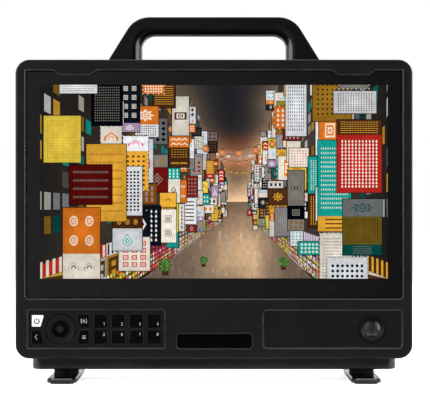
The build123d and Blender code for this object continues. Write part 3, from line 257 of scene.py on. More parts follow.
def fill_group(name, maker, values):
    """A shared group. Its inputs are the keys of the values, and its outputs those that the maker returns."""
    tree = bpy.data.node_groups.new(name, "ShaderNodeTree")
    for key in values:
        socket_name = key.replace("_", " ").title()
        tree.interface.new_socket(socket_name, in_out="INPUT", socket_type="NodeSocketFloat")
    start = tree.nodes.new("NodeGroupInput").outputs
    results = maker(Nodes(tree), *(start[place] for place in range(len(values))))
    for socket_name in results:
        tree.interface.new_socket(socket_name, in_out="OUTPUT", socket_type="NodeSocketFloat")
    end = tree.nodes.new("NodeGroupOutput").inputs
    for socket_name, result in results.items():
        tree.links.new(result, end[socket_name])
    return tree


def coating_grain(nodes, grain_size, mottle_size):
    """Fine bumps of a powder coat or moulded plastic, and broad mottling of its colour."""
    place, fine = nodes.place(), nodes.per(grain_size)
    bumps = nodes.noise(place, fine, 3.0, 0.6)
    cells = nodes.put("TexVoronoi", {"Vector": place, "Scale": fine}, feature="SMOOTH_F1")
    return {
        "Height": nodes.times_plus(cells["Distance"], 0.6, bumps),
        "Mottle": nodes.noise(place, nodes.per(mottle_size), 3.0, 0.55),
        "Speckle": nodes.smooth(bumps, 0.42, 0.66),
    }


def edge_wear(nodes, width, break_size, amount):
    """Masks of edges, where a rounded normal leaves the true one. Line is even and carries the painted edge
    highlight, and noise breaks up Mask, which is wear.
    """
    rounded = nodes.put("Bevel", {"Radius": width}, samples=4)[0]
    dot = nodes.vector("DOT_PRODUCT", rounded, nodes.put("NewGeometry")["Normal"])["Value"]
    line = nodes.smooth(nodes.math("SUBTRACT", 1.0, dot), 0.01, 0.16)
    breaks = nodes.smooth(nodes.noise(nodes.place(), nodes.per(break_size), 4.0, 0.65), 0.38, 0.62)
    return {"Line": line, "Mask": nodes.times(nodes.times(line, breaks), amount)}


def settled_dust(nodes, amount, patch_size):
    """A mask of fine dust on faces that look upward, in patches."""
    upward = nodes.axes(nodes.put("NewGeometry")["Normal"])["Z"]
    place = nodes.place()
    patches = nodes.smooth(nodes.noise(place, nodes.per(patch_size), 5.0, 0.7), 0.35, 0.75)
    specks = nodes.smooth(nodes.noise(place, 2600.0, 1.0), 0.45, 0.7)
    cover = nodes.times(patches, nodes.times_plus(specks, 0.6, 0.4))
    cover = nodes.times(cover, nodes.smooth(upward, 0.2, 0.95))
    return {"Mask": nodes.times(cover, amount)}


def drawn_streaks(nodes, streak_width, streak_length):
    """Fine streaks along the part's width, as on drawn or brushed metal."""
    across, along = nodes.per(streak_width), nodes.per(streak_length)
    stretch = nodes.put("CombineXYZ", {"X": along, "Y": across, "Z": across})[0]
    streaks = nodes.noise(nodes.vector("MULTIPLY", nodes.place(), stretch)[0], 1.0, 3.0, 0.6)
    return {"Height": streaks, "Shade": nodes.smooth(streaks, 0.3, 0.7)}


def copper_tracks(nodes, track_pitch):
    """Tracks, ground areas and soldered pads that show through a circuit board's lacquer."""
    place, scale = nodes.place(), nodes.per(track_pitch)
    cells = {"Vector": place, "Scale": nodes.times(scale, 0.12)}
    turn = nodes.axes(nodes.put("TexVoronoi", cells, distance="CHEBYCHEV")["Color"])["X"]
    axes = nodes.axes(place)
    level = nodes.math("GREATER_THAN", turn, 0.5)
    run = nodes.put("Mix", {"Factor": level, 2: axes["X"], 3: axes["Z"]})[0]
    wave = nodes.math("SINE", nodes.times(run, nodes.times(scale, 6.283)))
    dots = nodes.put("TexVoronoi", {"Vector": place, "Scale": nodes.times(scale, 0.4)})
    return {"Track": nodes.smooth(wave, 0.1, 0.35), "Pad": nodes.smooth(dots["Distance"], 0.16, 0.12)}


def hand_smudge(nodes, patch_size):
    """Soft patches where hands have changed a smooth surface's gloss."""
    place, scale = nodes.place(), nodes.per(patch_size)
    patch = nodes.smooth(nodes.noise(place, scale, 4.0, 0.6), 0.45, 0.75)
    return {"Mask": nodes.times(patch, nodes.noise(place, nodes.times(scale, 14.0), 2.0))}


# Finishes.

FINE_GRAIN = 0.4 * MM
DUST_COLOUR = (0.25, 0.24, 0.22)
RUBBER_DUST_COLOUR = (0.22, 0.21, 0.20)
WORN_STEEL_COLOUR = (0.45, 0.45, 0.44)
SOLDER_COLOUR = (0.60, 0.55, 0.42)
DIM_IN_GLOSS = grey(0.08)


class Finish(Nodes):
    """Nodes of a new material with a plain Principled shader."""

    def __init__(self, name):
        self.material = bpy.data.materials.new(name)
        self.material.use_nodes = True
        super().__init__(self.material.node_tree)
        self.tree.nodes.clear()

    def grain(self, grain_size, mottle_size):
        """The shared grain, with its sizes in metres."""
        return self.group(coating_grain, grain_size=grain_size, mottle_size=mottle_size)

    def marks(self, patch_size):
        """The shared mask of hand marks."""
        return self.group(hand_smudge, patch_size=patch_size)["Mask"]

    def shade(self, **inputs):
        """The material, once the shader's own inputs are linked or set."""
        shader = self.tree.nodes.new("ShaderNodeBsdfPrincipled")
        for key, value in inputs.items():
            self.join(value, shader.inputs[key.replace("_", " ")])
        self.put("OutputMaterial", {"Surface": shader.outputs[0]})
        return self.material


def coated_finish(name, colour, case, roughness, grain_share, wear_share, dust, specular, funnel=None):
    """A black coating with fine grain, soft mottling, edges rubbed thin, a painted highlight along every edge
    and a trace of dust.

    A funnel is x, z and the reach of a place where the coating is dull and unworn, and its colour darkened as
    painted shade in that recess.
    """
    nodes = Finish(name)
    grain_size = case.grain_size * grain_share
    grain = nodes.grain(grain_size, 35 * MM)
    worn = case.wear_amount * wear_share
    edges = nodes.group(edge_wear, width=case.wear_width, break_size=6 * MM, amount=worn)
    # Painted highlight: the even edge line lightens every edge as if light caught it; the broken mask is real
    # wear.
    wear = nodes.times_plus(edges["Line"], case.edge_light * wear_share, edges["Mask"], clamp=True)
    settled = nodes.group(settled_dust, amount=dust, patch_size=30 * MM)["Mask"]
    if funnel:
        x, z, reach = funnel
        outside = nodes.smooth(nodes.from_axis(x, z), 0.52 * reach, 0.60 * reach)
        wear = nodes.times(wear, outside)
    base = nodes.mottled(grain, colour, 0.86, 1.14)
    base = nodes.mix(nodes.times(grain["Speckle"], 0.25), base, lighter(colour, 1.5))
    base = nodes.mix(settled, nodes.mix(wear, base, case.worn_colour), DUST_COLOUR)
    rough = nodes.smooth(grain["Mottle"], 0.3, 0.7, roughness - 0.04, roughness + 0.04)
    rough = nodes.times_plus(settled, 0.4, nodes.times_plus(wear, -0.15, rough), clamp=True)
    if funnel:
        # Painted shade: inside the speaker's funnel the colour is darkened to stand in for the shade in the
        # recess.
        base = nodes.mix(outside, lighter(colour, 0.05), base)
        rough = nodes.times_plus(nodes.math("SUBTRACT", 1.0, outside), 0.2, rough, clamp=True)
    normal = nodes.bump(grain["Height"], 0.05 * grain_size)
    return nodes.shade(Base_Color=base, Roughness=rough, Normal=normal, Specular_IOR_Level=specular)


def smooth_finish(name, colour, roughness, specular=0.3, smudge=0.1):
    """Smooth moulded plastic with faint grain and soft finger marks."""
    nodes = Finish(name)
    grain = nodes.grain(0.35 * MM, 18 * MM)
    return nodes.shade(
        Base_Color=nodes.mottled(grain, colour, 0.82, 1.18),
        Roughness=nodes.times_plus(nodes.marks(16 * MM), smudge, roughness),
        Normal=nodes.bump(grain["Height"], 0.007 * MM),
        Specular_IOR_Level=specular,
    )


def ringed_finish(name, node, inner, outer, middle_colour, shaded_rim_colour, roughness, specular):
    """Moulded plastic or rubber on a round piece, whose rim is darker and duller than its middle. The darker
    rim is painted shade, and the joystick cap's lighter middle is a painted highlight.
    """
    nodes = Finish(name)
    rim = nodes.smooth(nodes.from_axis(*middle_of(node)), inner, outer)
    grain = nodes.grain(FINE_GRAIN, 10 * MM)
    # Painted shade at the rim, and a painted highlight where the middle is lighter.
    base = nodes.mix(rim, middle_colour, shaded_rim_colour)
    rough = nodes.times_plus(rim, 0.15, roughness)
    return nodes.shade(
        Base_Color=nodes.mix(1.0, base, nodes.mottled(grain, grey(1.0), 0.82, 1.0), "MULTIPLY"),
        Roughness=nodes.times_plus(nodes.marks(12 * MM), 0.1, rough, clamp=True),
        Normal=nodes.bump(grain["Height"], 0.01 * MM),
        Specular_IOR_Level=specular,
    )


def rubber_finish(name, colour):
    """Soft rubber: dull, with coarse mottling and light dust."""
    nodes = Finish(name)
    grain = nodes.grain(0.6 * MM, 10 * MM)
    settled = nodes.group(settled_dust, amount=0.06, patch_size=10 * MM)["Mask"]
    return nodes.shade(
        Base_Color=nodes.mix(settled, nodes.mottled(grain, colour, 0.8, 1.25), RUBBER_DUST_COLOUR),
        Roughness=nodes.smooth(grain["Mottle"], 0.3, 0.7, 0.62, 0.78),
        Normal=nodes.bump(grain["Height"], 0.03 * MM),
        Specular_IOR_Level=0.2,
        Sheen_Weight=0.04,
        Sheen_Roughness=0.5,
    )


def metal_finish(name, colour, roughness, streak_width=0.25 * MM, streak_length=20 * MM, wear=0.0):
    """Bare or plated metal with drawn streaks and duller patches."""
    nodes = Finish(name)
    streaks = nodes.group(drawn_streaks, streak_width=streak_width, streak_length=streak_length)
    base = nodes.mix(streaks["Shade"], lighter(colour, 0.88), lighter(colour, 1.08))
    if wear:
        edges = nodes.group(edge_wear, width=0.3 * MM, break_size=2 * MM, amount=wear)
        base = nodes.mix(edges["Mask"], base, WORN_STEEL_COLOUR)
    rough = nodes.smooth(streaks["Shade"], 0.0, 1.0, roughness - 0.05, roughness + 0.06)
    rough = nodes.times_plus(nodes.marks(12 * MM), 0.15, rough, clamp=True)
    normal = nodes.bump(streaks["Height"], 0.01 * MM)
    return nodes.shade(Base_Color=base, Roughness=rough, Normal=normal, Metallic=1.0)


def board_finish(name, colour):
    """A lacquered circuit board: tracks under the lacquer and plated pads."""
    nodes = Finish(name)
    copper = nodes.group(copper_tracks, track_pitch=1.4 * MM)
    track, pad = copper["Track"], copper["Pad"]
    base = nodes.mottled(nodes.grain(FINE_GRAIN, 20 * MM), colour, 0.85, 1.1)
    base = nodes.mix(nodes.times(track, 0.6), base, lighter(colour, 2.1))
    return nodes.shade(
        Base_Color=nodes.mix(pad, base, SOLDER_COLOUR),
        Metallic=pad,
        Roughness=nodes.smooth(pad, 0.0, 1.0, 0.32, 0.25),
        Normal=nodes.bump(nodes.times_plus(track, 0.5, pad), 0.04 * MM),
        Specular_IOR_Level=0.5,
    )


def glass_finish(name):
    """Clear display glass with a faint trace of hands on its gloss."""
    nodes = Finish(name)
    rough = nodes.times(nodes.marks(50 * MM), 0.03)
    return nodes.shade(Base_Color=grey(1.0), Transmission_Weight=1.0, IOR=1.45, Roughness=rough)


def panel_finish(name, colour, roughness):
    """A thin film or sheet with very fine grain, as a screen's inner layers have."""
    nodes = Finish(name)
    grain = nodes.grain(0.3 * MM, 50 * MM)
    rough = nodes.smooth(grain["Mottle"], 0.2, 0.8, roughness, roughness + 0.06)
    base = nodes.mottled(grain, colour, 0.93, 1.05)
    return nodes.shade(Base_Color=base, Roughness=rough, Specular_IOR_Level=0.4)


def lit_window_finish(name, colour):
    """The power key's milky window with a lamp behind it, brighter towards its middle."""
    nodes = Finish(name)
    x, z = middle_of("button_power")
    front_middle = (x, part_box("button_power")[0].y, z)
    away = nodes.vector("DISTANCE", nodes.place(), front_middle)["Value"]
    grain = nodes.grain(FINE_GRAIN, 10 * MM)
    glow = nodes.smooth(away, 3 * MM, 10 * MM, 1.0, 0.80)
    light = nodes.mix(glow, grey(0.5), nodes.mottled(grain, colour, 0.97, 1.0))
    base = nodes.mottled(grain, colour, 0.28, 0.31)
    return nodes.shade(Base_Color=base, Emission_Color=light, Emission_Strength=0.66, Roughness=0.35)


def sign_finish(name, colour, specular=0.3):
    """Opaque printed ink with a slightly uneven film."""
    nodes = Finish(name)
    grain = nodes.grain(0.2 * MM, 2 * MM)
    rough = nodes.smooth(grain["Speckle"], 0.0, 1.0, 0.4, 0.55)
    base = nodes.mottled(grain, colour, 0.9, 1.06)
    return nodes.shade(Base_Color=base, Roughness=rough, Specular_IOR_Level=specular)


def border_finish(name, colour):
    """A glossy black film, through which two round magnets show as faint marks."""
    nodes = Finish(name)
    low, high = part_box("protector_magnets")
    radius = (high.z - low.z) / 2
    away = nodes.from_axis(high.x - radius, (low.z + high.z) / 2, both_sides=True)
    mark = nodes.smooth(away, radius * 1.02, radius * 0.94)
    rough = nodes.times_plus(nodes.marks(50 * MM), 0.05, 0.05)
    base = nodes.mix(mark, colour, lighter(colour, 3.0))
    return nodes.shade(Base_Color=base, Roughness=rough, Specular_IOR_Level=0.62)


def picture_finish(name, brightness):
    """The screen's light: each shape carries its own colour, and soft clouds shade it."""
    nodes = Finish(name)
    tint = nodes.put("VertexColor", layer_name="light")["Color"]
    cloud = nodes.smooth(nodes.noise(nodes.place(), 240.0, 4.0, 0.6), 0.3, 0.7, 0.80, 1.0)
    light = nodes.mix(1.0, tint, cloud, "MULTIPLY")
    return nodes.shade(
        Base_Color=grey(0.0), Specular_IOR_Level=0.0, Emission_Color=light, Emission_Strength=brightness
    )


def dress(material, *names):
    """Gives CAD nodes a finish."""
    for name in names:
        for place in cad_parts[name].material_slots:
            place.material = material


# Helpers for new pieces.


def add_object(name, points, faces, material):
    """An object from an array of points in metres and lists of faces."""
    mesh = bpy.data.meshes.new(name)
    mesh.from_pydata(points.tolist(), [], faces)
    mesh.validate()
    mesh.materials.append(material)
    item = bpy.data.objects.new(name, mesh)
    bpy.context.scene.collection.objects.link(item)
    return item


def add_piece(name, points, faces, material, body, slot_name):
    """A new piece, riding on a body."""
    piece = add_object(name, points, faces, material)
    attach(piece, body)
    return piece


def unit(vectors):
    """Vectors of the same directions whose length is 1."""
    return vectors / np.maximum(np.linalg.norm(vectors, axis=-1, keepdims=True), 1e-12)


def on_circle(angle):
    """Points of the unit circle at angles in radians."""
    return np.stack([np.cos(angle), np.sin(angle)], axis=-1)


def arc(x, z, radius_x, radius_z, first, last, count=20):
    """Points of an ellipse's arc about x, z, from one angle to another in degrees, against the clock."""
    return on_circle(np.radians(np.linspace(first, last, count))) * (radius_x, radius_z) + (x, z)


def upright(outlines, y):
    """Points in x and z as points in space, at a depth y."""
    return np.insert(outlines, 1, y, axis=-1)


def rectangle(low_x, low_z, high_x, high_z):
    """Corners of a level rectangle."""
    return np.array([[low_x, low_z], [high_x, low_z], [high_x, high_z], [low_x, high_z]])


def travelled(path):
    """The length of a path up to each of its points."""
    return np.concatenate([[0], np.cumsum(np.linalg.norm(np.diff(path, axis=0), axis=1))])


def with_round_ends(path, width):
    """The path with more points near its two ends, where the stroke is rounded."""
    lengths = travelled(path)
    ends = width / 2 * (1 - np.cos(np.linspace(0, math.pi / 2, 6)))
    stations = np.unique(np.concatenate([lengths, ends, lengths[-1] - ends]).round(9))
    return np.column_stack([np.interp(stations, lengths, path[:, axis]) for axis in (0, 1)])


def stroke_surface(path, width, front_y, back_y, closed):
    """A pen stroke along a path in x and z.

    At each point of the path the profile lies across the path's direction, which is the mean of the runs
    on both sides. The half width is width / 2 divided by the cosine of half the turn. On an open stroke it
    falls to nothing over the last half width of each end as a half circle does: it is width / 2 times
    sqrt(1 - t * t), where t goes from 0 to 1 at the tip.
    """
    if not closed:
        path = with_round_ends(path, width)
    runs = unit(np.roll(path, -1, axis=0) - path)
    before = np.roll(runs, 1, axis=0)
    if not closed:
        before[0], runs[-1] = runs[0], before[-1]
    tangent = unit(runs + before)
    half = width / 2 / np.maximum((tangent * runs).sum(axis=1), 0.4)
    if not closed:
        along = travelled(path)
        t = np.clip(1 - np.minimum(along, along[-1] - along) / (width / 2), 0, 1)
        half = half * np.maximum(np.sqrt(1 - t * t), 0.04)
    across = np.column_stack([-tangent[:, 1], tangent[:, 0]]) * half[:, None]
    return tube_surface(path + across, path - across, front_y, back_y, closed)


def tube_surface(left, right, front_y, back_y, closed=True):
    """A tube between two paths and two depths, capped at its ends unless it closes on itself."""
    edges = [upright(left, front_y), upright(right, front_y), upright(right, back_y), upright(left, back_y)]
    count = len(left)
    ring = np.arange(4)
    across = (ring + 1) % 4
    station = 4 * np.arange(count if closed else count - 1)[:, None]
    following = (station + 4) % (4 * count)
    corners = [station + ring, following + ring, following + across, station + across]
    faces = np.stack(corners, axis=-1).reshape(-1, 4).tolist()
    if not closed:
        faces += [ring.tolist(), (4 * count - 4 + ring[::-1]).tolist()]
    return np.stack(edges, axis=1).reshape(-1, 3), faces


def plate_surface(corners, radius, front_y, back_y, count=6):
    """A flat plate whose outline is the corners, each rounded by an arc of a radius.

    At a corner with unit runs a before it and b after it and an inside angle of 2h, the arc's centre lies
    radius / sin(h) from the corner along the middle of b and -a, and the arc turns from one run to the other.
    """
    into = unit(corners - np.roll(corners, 1, axis=0))
    out = unit(np.roll(corners, -1, axis=0) - corners)
    cosine = (into * out).sum(axis=1)
    centre = corners + unit(out - into) * (radius / np.sqrt((1 + cosine) / 2))[:, None]
    first = np.arctan2(-into[:, 0], into[:, 1])
    turn = np.arctan2(into[:, 0] * out[:, 1] - into[:, 1] * out[:, 0], cosine)
    angle = first[:, None] + turn[:, None] * np.linspace(0, 1, count)
    outline = (centre[:, None, :] + radius * on_circle(angle)).reshape(-1, 2)
    total = len(outline)
    ring = np.arange(total)
    following = (ring + 1) % total
    walls = np.column_stack([following, ring, ring + total, following + total]).tolist()
    faces = [ring.tolist(), (ring[::-1] + total).tolist(), *walls]
    return np.concatenate([upright(outline, front_y), upright(outline, back_y)]), faces


def joined(tubes):
    """Several tubes as one surface, each given as its points and four-cornered faces."""
    firsts = np.cumsum([0, *(len(points) for points, _ in tubes)])
    faces = [first + np.array(quads) for first, (_, quads) in zip(firsts, tubes)]
    return np.concatenate([points for points, _ in tubes]), np.concatenate(faces).tolist()


# The signs on the keys. Each is a list of strokes in a box from 0 to 1, as points and whether it closes.


def line(*runs):
    """An open stroke through points and arcs."""
    return np.concatenate([np.array(run, float) for run in runs]), False


def ring(x, z, radius_x, radius_z):
    """A closed stroke round an ellipse."""
    return arc(x, z, radius_x, radius_z, 0, 360, 25)[:-1], True


SIGNS = {
    "1": [line([(0.08, 0.80), (0.34, 1.0), (0.34, 0.0)])],
    "2": [line(arc(0.30, 0.71, 0.27, 0.29, 165, -38), [(0.03, 0.0), (0.60, 0.0)])],
    "3": [line(arc(0.27, 0.76, 0.25, 0.24, 150, -78), arc(0.27, 0.27, 0.29, 0.27, 85, -150))],
    "4": [line([(0.46, 0.0), (0.46, 1.0), (0.02, 0.30), (0.64, 0.30)])],
    "5": [line([(0.55, 1.0), (0.13, 1.0)], arc(0.27, 0.33, 0.30, 0.32, 125, -145))],
    "6": [ring(0.30, 0.31, 0.28, 0.31), line(arc(0.56, 0.31, 0.54, 0.68, 108, 176))],
    "7": [line([(0.02, 1.0), (0.58, 1.0), (0.20, 0.0)])],
    "8": [ring(0.30, 0.76, 0.23, 0.24), ring(0.30, 0.27, 0.28, 0.27)],
    "power": [line(arc(0.5, 0.45, 0.42, 0.42, 128, 412, 40)), line([(0.5, 0.5), (0.5, 1.0)])],
    "back": [line([(0.72, 1.0), (0.28, 0.5), (0.72, 0.0)])],
    "touch": [
        line([(0.16, 0.80), (0.02, 0.80), (0.02, 0.06), (0.16, 0.06)]),
        line([(0.84, 0.80), (0.98, 0.80), (0.98, 0.06), (0.84, 0.06)]),
        line([(0.30, 0.44), (0.44, 0.18), (0.44, 1.0), (0.44, 0.52), (0.70, 0.46), (0.70, 0.10)]),
    ],
    "menu": [line([(0.0, z), (1.0, z)]) for z in (0.1, 0.5, 0.9)],
}


def add_sign(name, key, anchor, offset, size, stroke, material, lift=0.0):
    """One key's sign, printed on the face of its key.

    Its middle lies at the anchor, as shares of the key's width and height, and the offset from there.
    """
    low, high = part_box(f"button_{key}")
    front_y = low.y - lift - bpy.context.scene.monitor_control.sign_height
    corner = np.array([low.x, low.z]) + np.multiply(anchor, (high.x - low.x, high.z - low.z)) + offset
    tubes = [
        stroke_surface(corner + (points - 0.5) * size, stroke, front_y, low.y + PRINT_THICKNESS, closed)
        for points, closed in SIGNS[key]
    ]
    add_piece(name, *joined(tubes), material, f"button_{key}", "button_black")


# The picture on the screen: an evening street of lit boards, whose marks are all plain patterns.
# Its lengths are millimetres from the picture's lower left corner. What stands at a depth of 2 looks half
# as large as at a depth of 1.


HUES = {
    "cream": (1.00, 0.93, 0.80),
    "white": (0.95, 0.97, 1.00),
    "orange": (0.95, 0.24, 0.02),
    "amber": (1.00, 0.50, 0.05),
    "yellow": (1.00, 0.78, 0.08),
    "red": (0.66, 0.03, 0.02),
    "teal": (0.01, 0.45, 0.38),
    "lilac": (0.50, 0.34, 0.52),
    "rose": (0.80, 0.09, 0.22),
    "lime": (0.42, 0.60, 0.10),
    "navy": (0.006, 0.010, 0.020),
    "brown": (0.09, 0.030, 0.010),
}
PALETTE = {name: np.array(colour) for name, colour in HUES.items()}
BOARD_COLOURS = (
    ("cream", "orange"), ("white", "navy"), ("orange", "cream"), ("cream", "red"), ("white", "teal"),
    ("cream", "amber"), ("white", "brown"), ("cream", "brown"), ("teal", "cream"), ("lilac", "white"),
    ("navy", "cream"), ("red", "cream"), ("white", "orange"), ("amber", "brown"), ("yellow", "red"),
    ("cream", "teal"), ("orange", "white"), ("white", "rose"), ("brown", "amber"), ("cream", "navy"),
)
NIGHT = np.array([0.0045, 0.0065, 0.0120])
VANISHING = np.array([0.575 * PICTURE_WIDTH / MM, 0.36 * PICTURE_HEIGHT / MM])
FACADE_REACH = {-1: 84.0, 1: 62.0}
GROUND = -60.0
SHOP_HEIGHT, AWNING_HEIGHT, FLOOR_HEIGHT = 30, 8, 13
BUILDING_DEPTHS = 0.46 * 1.27 ** np.arange(12)
BOARD_DEPTHS = 0.54 * 1.16 ** np.arange(17)
LANTERN_STRINGS = (
    (4.3, 170.0, 34.0, 7, "amber"), (3.0, 150.0, 30.0, 8, "orange"),
    (2.1, 118.0, 22.0, 8, "cream"), (1.35, 96.0, 30.0, 8, "orange"),
)
SHRUBS = ((0.36, 0.055, 7.0), (0.47, 0.085, 4.5), (0.70, 0.075, 5.5))
BOARD_RIM = 0.55
BOARD_GAPS = (1.0, 1.5, 3.0, 10.0)
MARK_PITCHES = (2.2, 2.8, 3.6, 5.0, 8.0, 16.0, 30.0)
MOST_MARKS = 14
BULB_SPACING, BULB_RADIUS = 3.2, 0.55
SKY_CELLS, GROUND_CELLS, WALL_CELLS = (110, 62), (90, 26), (8, 24)
WALL_COLOUR = np.array([0.012, 0.014, 0.016])
LEAF_COLOUR = np.array([0.10, 0.24, 0.05])
BOARD_GLOW = np.array([0.060, 0.042, 0.026])
LAYER_STEP = 0.0015 * MM
SMALLEST_SHAPE = 0.04 * MM


def round_mark(radius, count=12):
    """A circle as corners."""
    return radius * on_circle(np.linspace(0, 2 * math.pi, count, endpoint=False))


# Marks in a cell that runs from -0.5 to 0.5.
MARKS = {
    "bar": rectangle(-0.44, -0.20, 0.44, 0.20),
    "post": rectangle(-0.22, -0.44, 0.22, 0.44),
    "dot": round_mark(0.34),
    "diamond": round_mark(0.46, 4),
    "chevron": np.array([[-0.5, -0.32], [0.0, 0.10], [0.5, -0.32], [0.5, 0.0], [0.0, 0.42], [-0.5, 0.0]]),
    "stripe": rectangle(-0.5, -0.13, 0.5, 0.13),
    "star": round_mark(1.0, 16) * np.tile([0.46, 0.27], 8)[:, None],
    "leaf": round_mark(0.46, 10) * (0.42, 1.0),
    "tile": rectangle(-0.36, -0.36, 0.36, 0.36),
    "drop": np.array([[0.0, 0.48], [0.26, 0.0], [0.30, -0.22], [0.0, -0.46], [-0.30, -0.22], [-0.26, 0.0]]),
}


class LitShapes:
    """Flat shapes gathered as arrays, each added in front of those before it."""

    def __init__(self):
        self.points, self.colours = [], []

    def add(self, outlines, colours):
        """Adds shapes as corners in x and z. The colour is one for all, or one for each corner."""
        outlines = outlines.reshape(-1, *outlines.shape[-2:])
        self.points.append(outlines)
        self.colours.append(np.broadcast_to(colours, (*outlines.shape[:2], 3)))

    def add_glowing(self, corners, colour, edge_share):
        """A patch that glows from its middle: a triangle to each side, whose outer corners are dimmer."""
        middle = np.broadcast_to(corners.mean(axis=0), corners.shape)
        outlines = np.stack([middle, corners, np.roll(corners, -1, axis=0)], axis=1)
        self.add(outlines, np.stack([colour, colour * edge_share, colour * edge_share]))

    def add_lamps(self, places, radii, inner, outer, count):
        """Round lamps: each is a fan of triangles from a bright middle to a dimmer rim."""
        rim = round_mark(1.0, count) * radii
        wedges = np.stack([np.zeros_like(rim), rim, np.roll(rim, -1, axis=0)], axis=1)
        self.add(places[:, None, None, :] + wedges, np.stack([inner, outer, outer]))


def pick(chance, choices):
    """One of several things, drawn by chance."""
    return choices[chance.integers(len(choices))]


def street_point(side, depth, height, inward=0.0):
    """A point on one side's row of houses: all runs along the street meet at the vanishing point.

    The distance from that point is the reach, less what the point stands inward, and the height over the
    eye, both divided by the depth.
    """
    x = VANISHING[0] + side * (FACADE_REACH[side] - inward) / depth
    return np.stack([x, VANISHING[1] + height / depth], axis=-1)


def house_front(side, near, far, low, high):
    """Corners of an upright patch of one side's row between two depths and two heights."""
    left, right = (near, far) if side < 0 else (far, near)
    return street_point(side, np.array([left, right, right, left]), np.array([low, low, high, high]))


def on_patch(corners, marks):
    """Marks of a unit square on a patch: each corner's share is u or 1 - u times v or 1 - v."""
    u, v = marks[..., 0:1], marks[..., 1:2]
    first, second, third, fourth = corners
    return (1 - u) * (1 - v) * first + u * (1 - v) * second + u * v * third + (1 - u) * v * fourth


def unit_grid(columns, rows):
    """The unit square as a grid of four-cornered cells."""
    low = np.stack(np.meshgrid(np.arange(columns) / columns, np.arange(rows) / rows), axis=-1)
    return low.reshape(-1, 1, 2) + rectangle(0, 0, 1 / columns, 1 / rows)


def pattern(kind, columns, rows):
    """One plain mark in each cell of the unit square."""
    return unit_grid(columns, rows).mean(axis=1, keepdims=True) + MARKS[kind] / (columns, rows)


def draw_panel(shapes, chance, corners, size, light):
    """One panel of a board: a glowing face and rows of plain marks of another colour."""
    face, mark = (PALETTE[name] * light for name in pick(chance, BOARD_COLOURS))
    shapes.add_glowing(corners, face, chance.uniform(0.62, 0.92))
    kind = pick(chance, list(MARKS))
    pitch = chance.choice(MARK_PITCHES)
    columns, rows = (int(np.clip(round(length / pitch), 1, MOST_MARKS)) for length in size)
    marks = pattern(kind, 1 if kind == "bar" else columns, rows) * 0.84 + 0.08
    middles = marks.mean(axis=1, keepdims=True)
    layers = [(chance.uniform(0.62, 0.95), mark)]
    if pitch > 6:
        layers += [(0.56, face), (0.34, mark), (0.16, face)]
    for share, shade in layers:
        shapes.add(on_patch(corners, middles + (marks - middles) * share), shade)


def draw_board(shapes, chance, board):
    """A board of one to three panels in a dark rim, some with a row of bulbs round it."""
    corners, (width, height) = board["corners"], board["size"]
    shapes.add(corners + BOARD_RIM * np.sign(corners - corners.mean(axis=0)), NIGHT * 0.6)
    cuts = [0.0, *np.sort(chance.uniform(0.15, 0.85, board["panels"] - 1)), 1.0]
    for low, high in zip(cuts[:-1], cuts[1:]):
        panel = on_patch(corners, rectangle(0.0, low, 1.0, high))
        draw_panel(shapes, chance, panel, (width, height * (high - low)), board["light"])
    if board["bulbs"]:
        level, rise = (np.linspace(0, 1, max(3, int(length / BULB_SPACING))) for length in (width, height))
        rim = [(u, v) for u in level for v in (0.0, 1.0)] + [(u, v) for v in rise[1:-1] for u in (0.0, 1.0)]
        places = on_patch(corners, np.array(rim))
        shapes.add_lamps(places, (BULB_RADIUS, BULB_RADIUS), PALETTE["white"], PALETTE["cream"] * 0.5, 8)


def place_boards(chance):
    """Boards that stand out from both rows of houses, one above another at each depth."""
    boards = []
    for side in (-1, 1):
        for depth in BOARD_DEPTHS:
            depth *= chance.uniform(0.97, 1.03)
            top = chance.uniform(120, 190)
            while top > -24:
                width, height = chance.uniform(11, 23), chance.uniform(9, 52)
                inward = chance.uniform(-5, 9)
                outer = street_point(side, depth, top, inward)
                inner = street_point(side, depth, top - height, inward + width)
                low, high = np.minimum(outer, inner), np.maximum(outer, inner)
                board = {"depth": depth, "corners": rectangle(*low, *high), "size": high - low}
                board["light"] = chance.uniform(*((0.16, 0.45) if chance.random() < 0.22 else (0.85, 1.1)))
                board["panels"] = int(chance.integers(1, 4)) if height > 24 else 1
                board["bulbs"] = chance.random() < 0.12 and depth < 2.4
                boards.append(board)
                top -= height + chance.choice(BOARD_GAPS)
    return boards


def place_lanterns(chance):
    """Strings of lanterns across the street: each hangs on a parabola."""
    strings = []
    for depth, height, sag, count, colour in LANTERN_STRINGS:
        t = np.linspace(0.04, 0.96, count)
        start, end = street_point(-1, depth, height), street_point(1, depth, height * 0.94)
        places = start + (end - start) * t[:, None]
        places[:, 1] -= 4 * sag / depth * t * (1 - t)
        radius = chance.uniform(3.0, 4.2) / depth
        strings.append({"depth": depth, "places": places, "radius": radius, "colour": PALETTE[colour]})
    return strings


def glow_at(points, lights):
    """Light in the air: a lit thing d away, with a spread s, adds its colour times exp(-d * d / (2 s * s))."""
    centres, spreads, colours = lights
    away = ((points[..., None, :] - centres) ** 2).sum(axis=-1)
    return np.exp(-away / (2 * spreads**2)) @ colours


def gather_lights(boards, strings):
    """Middles, spreads and colours of all that glows, and of the haze where the street ends."""
    lights = [
        (VANISHING, 11.0, (0.95, 0.62, 0.34)),
        (VANISHING - (0.0, 12.0), 26.0, (0.30, 0.17, 0.09)),
    ]
    for board in boards:
        spread = 0.42 * board["size"].max() + 2.0
        lights.append((board["corners"].mean(axis=0), spread, BOARD_GLOW * board["light"]))
    for string in strings:
        lights += [(place, 2.6 * string["radius"], string["colour"] * 0.16) for place in string["places"]]
    return [np.array(values) for values in zip(*lights)]


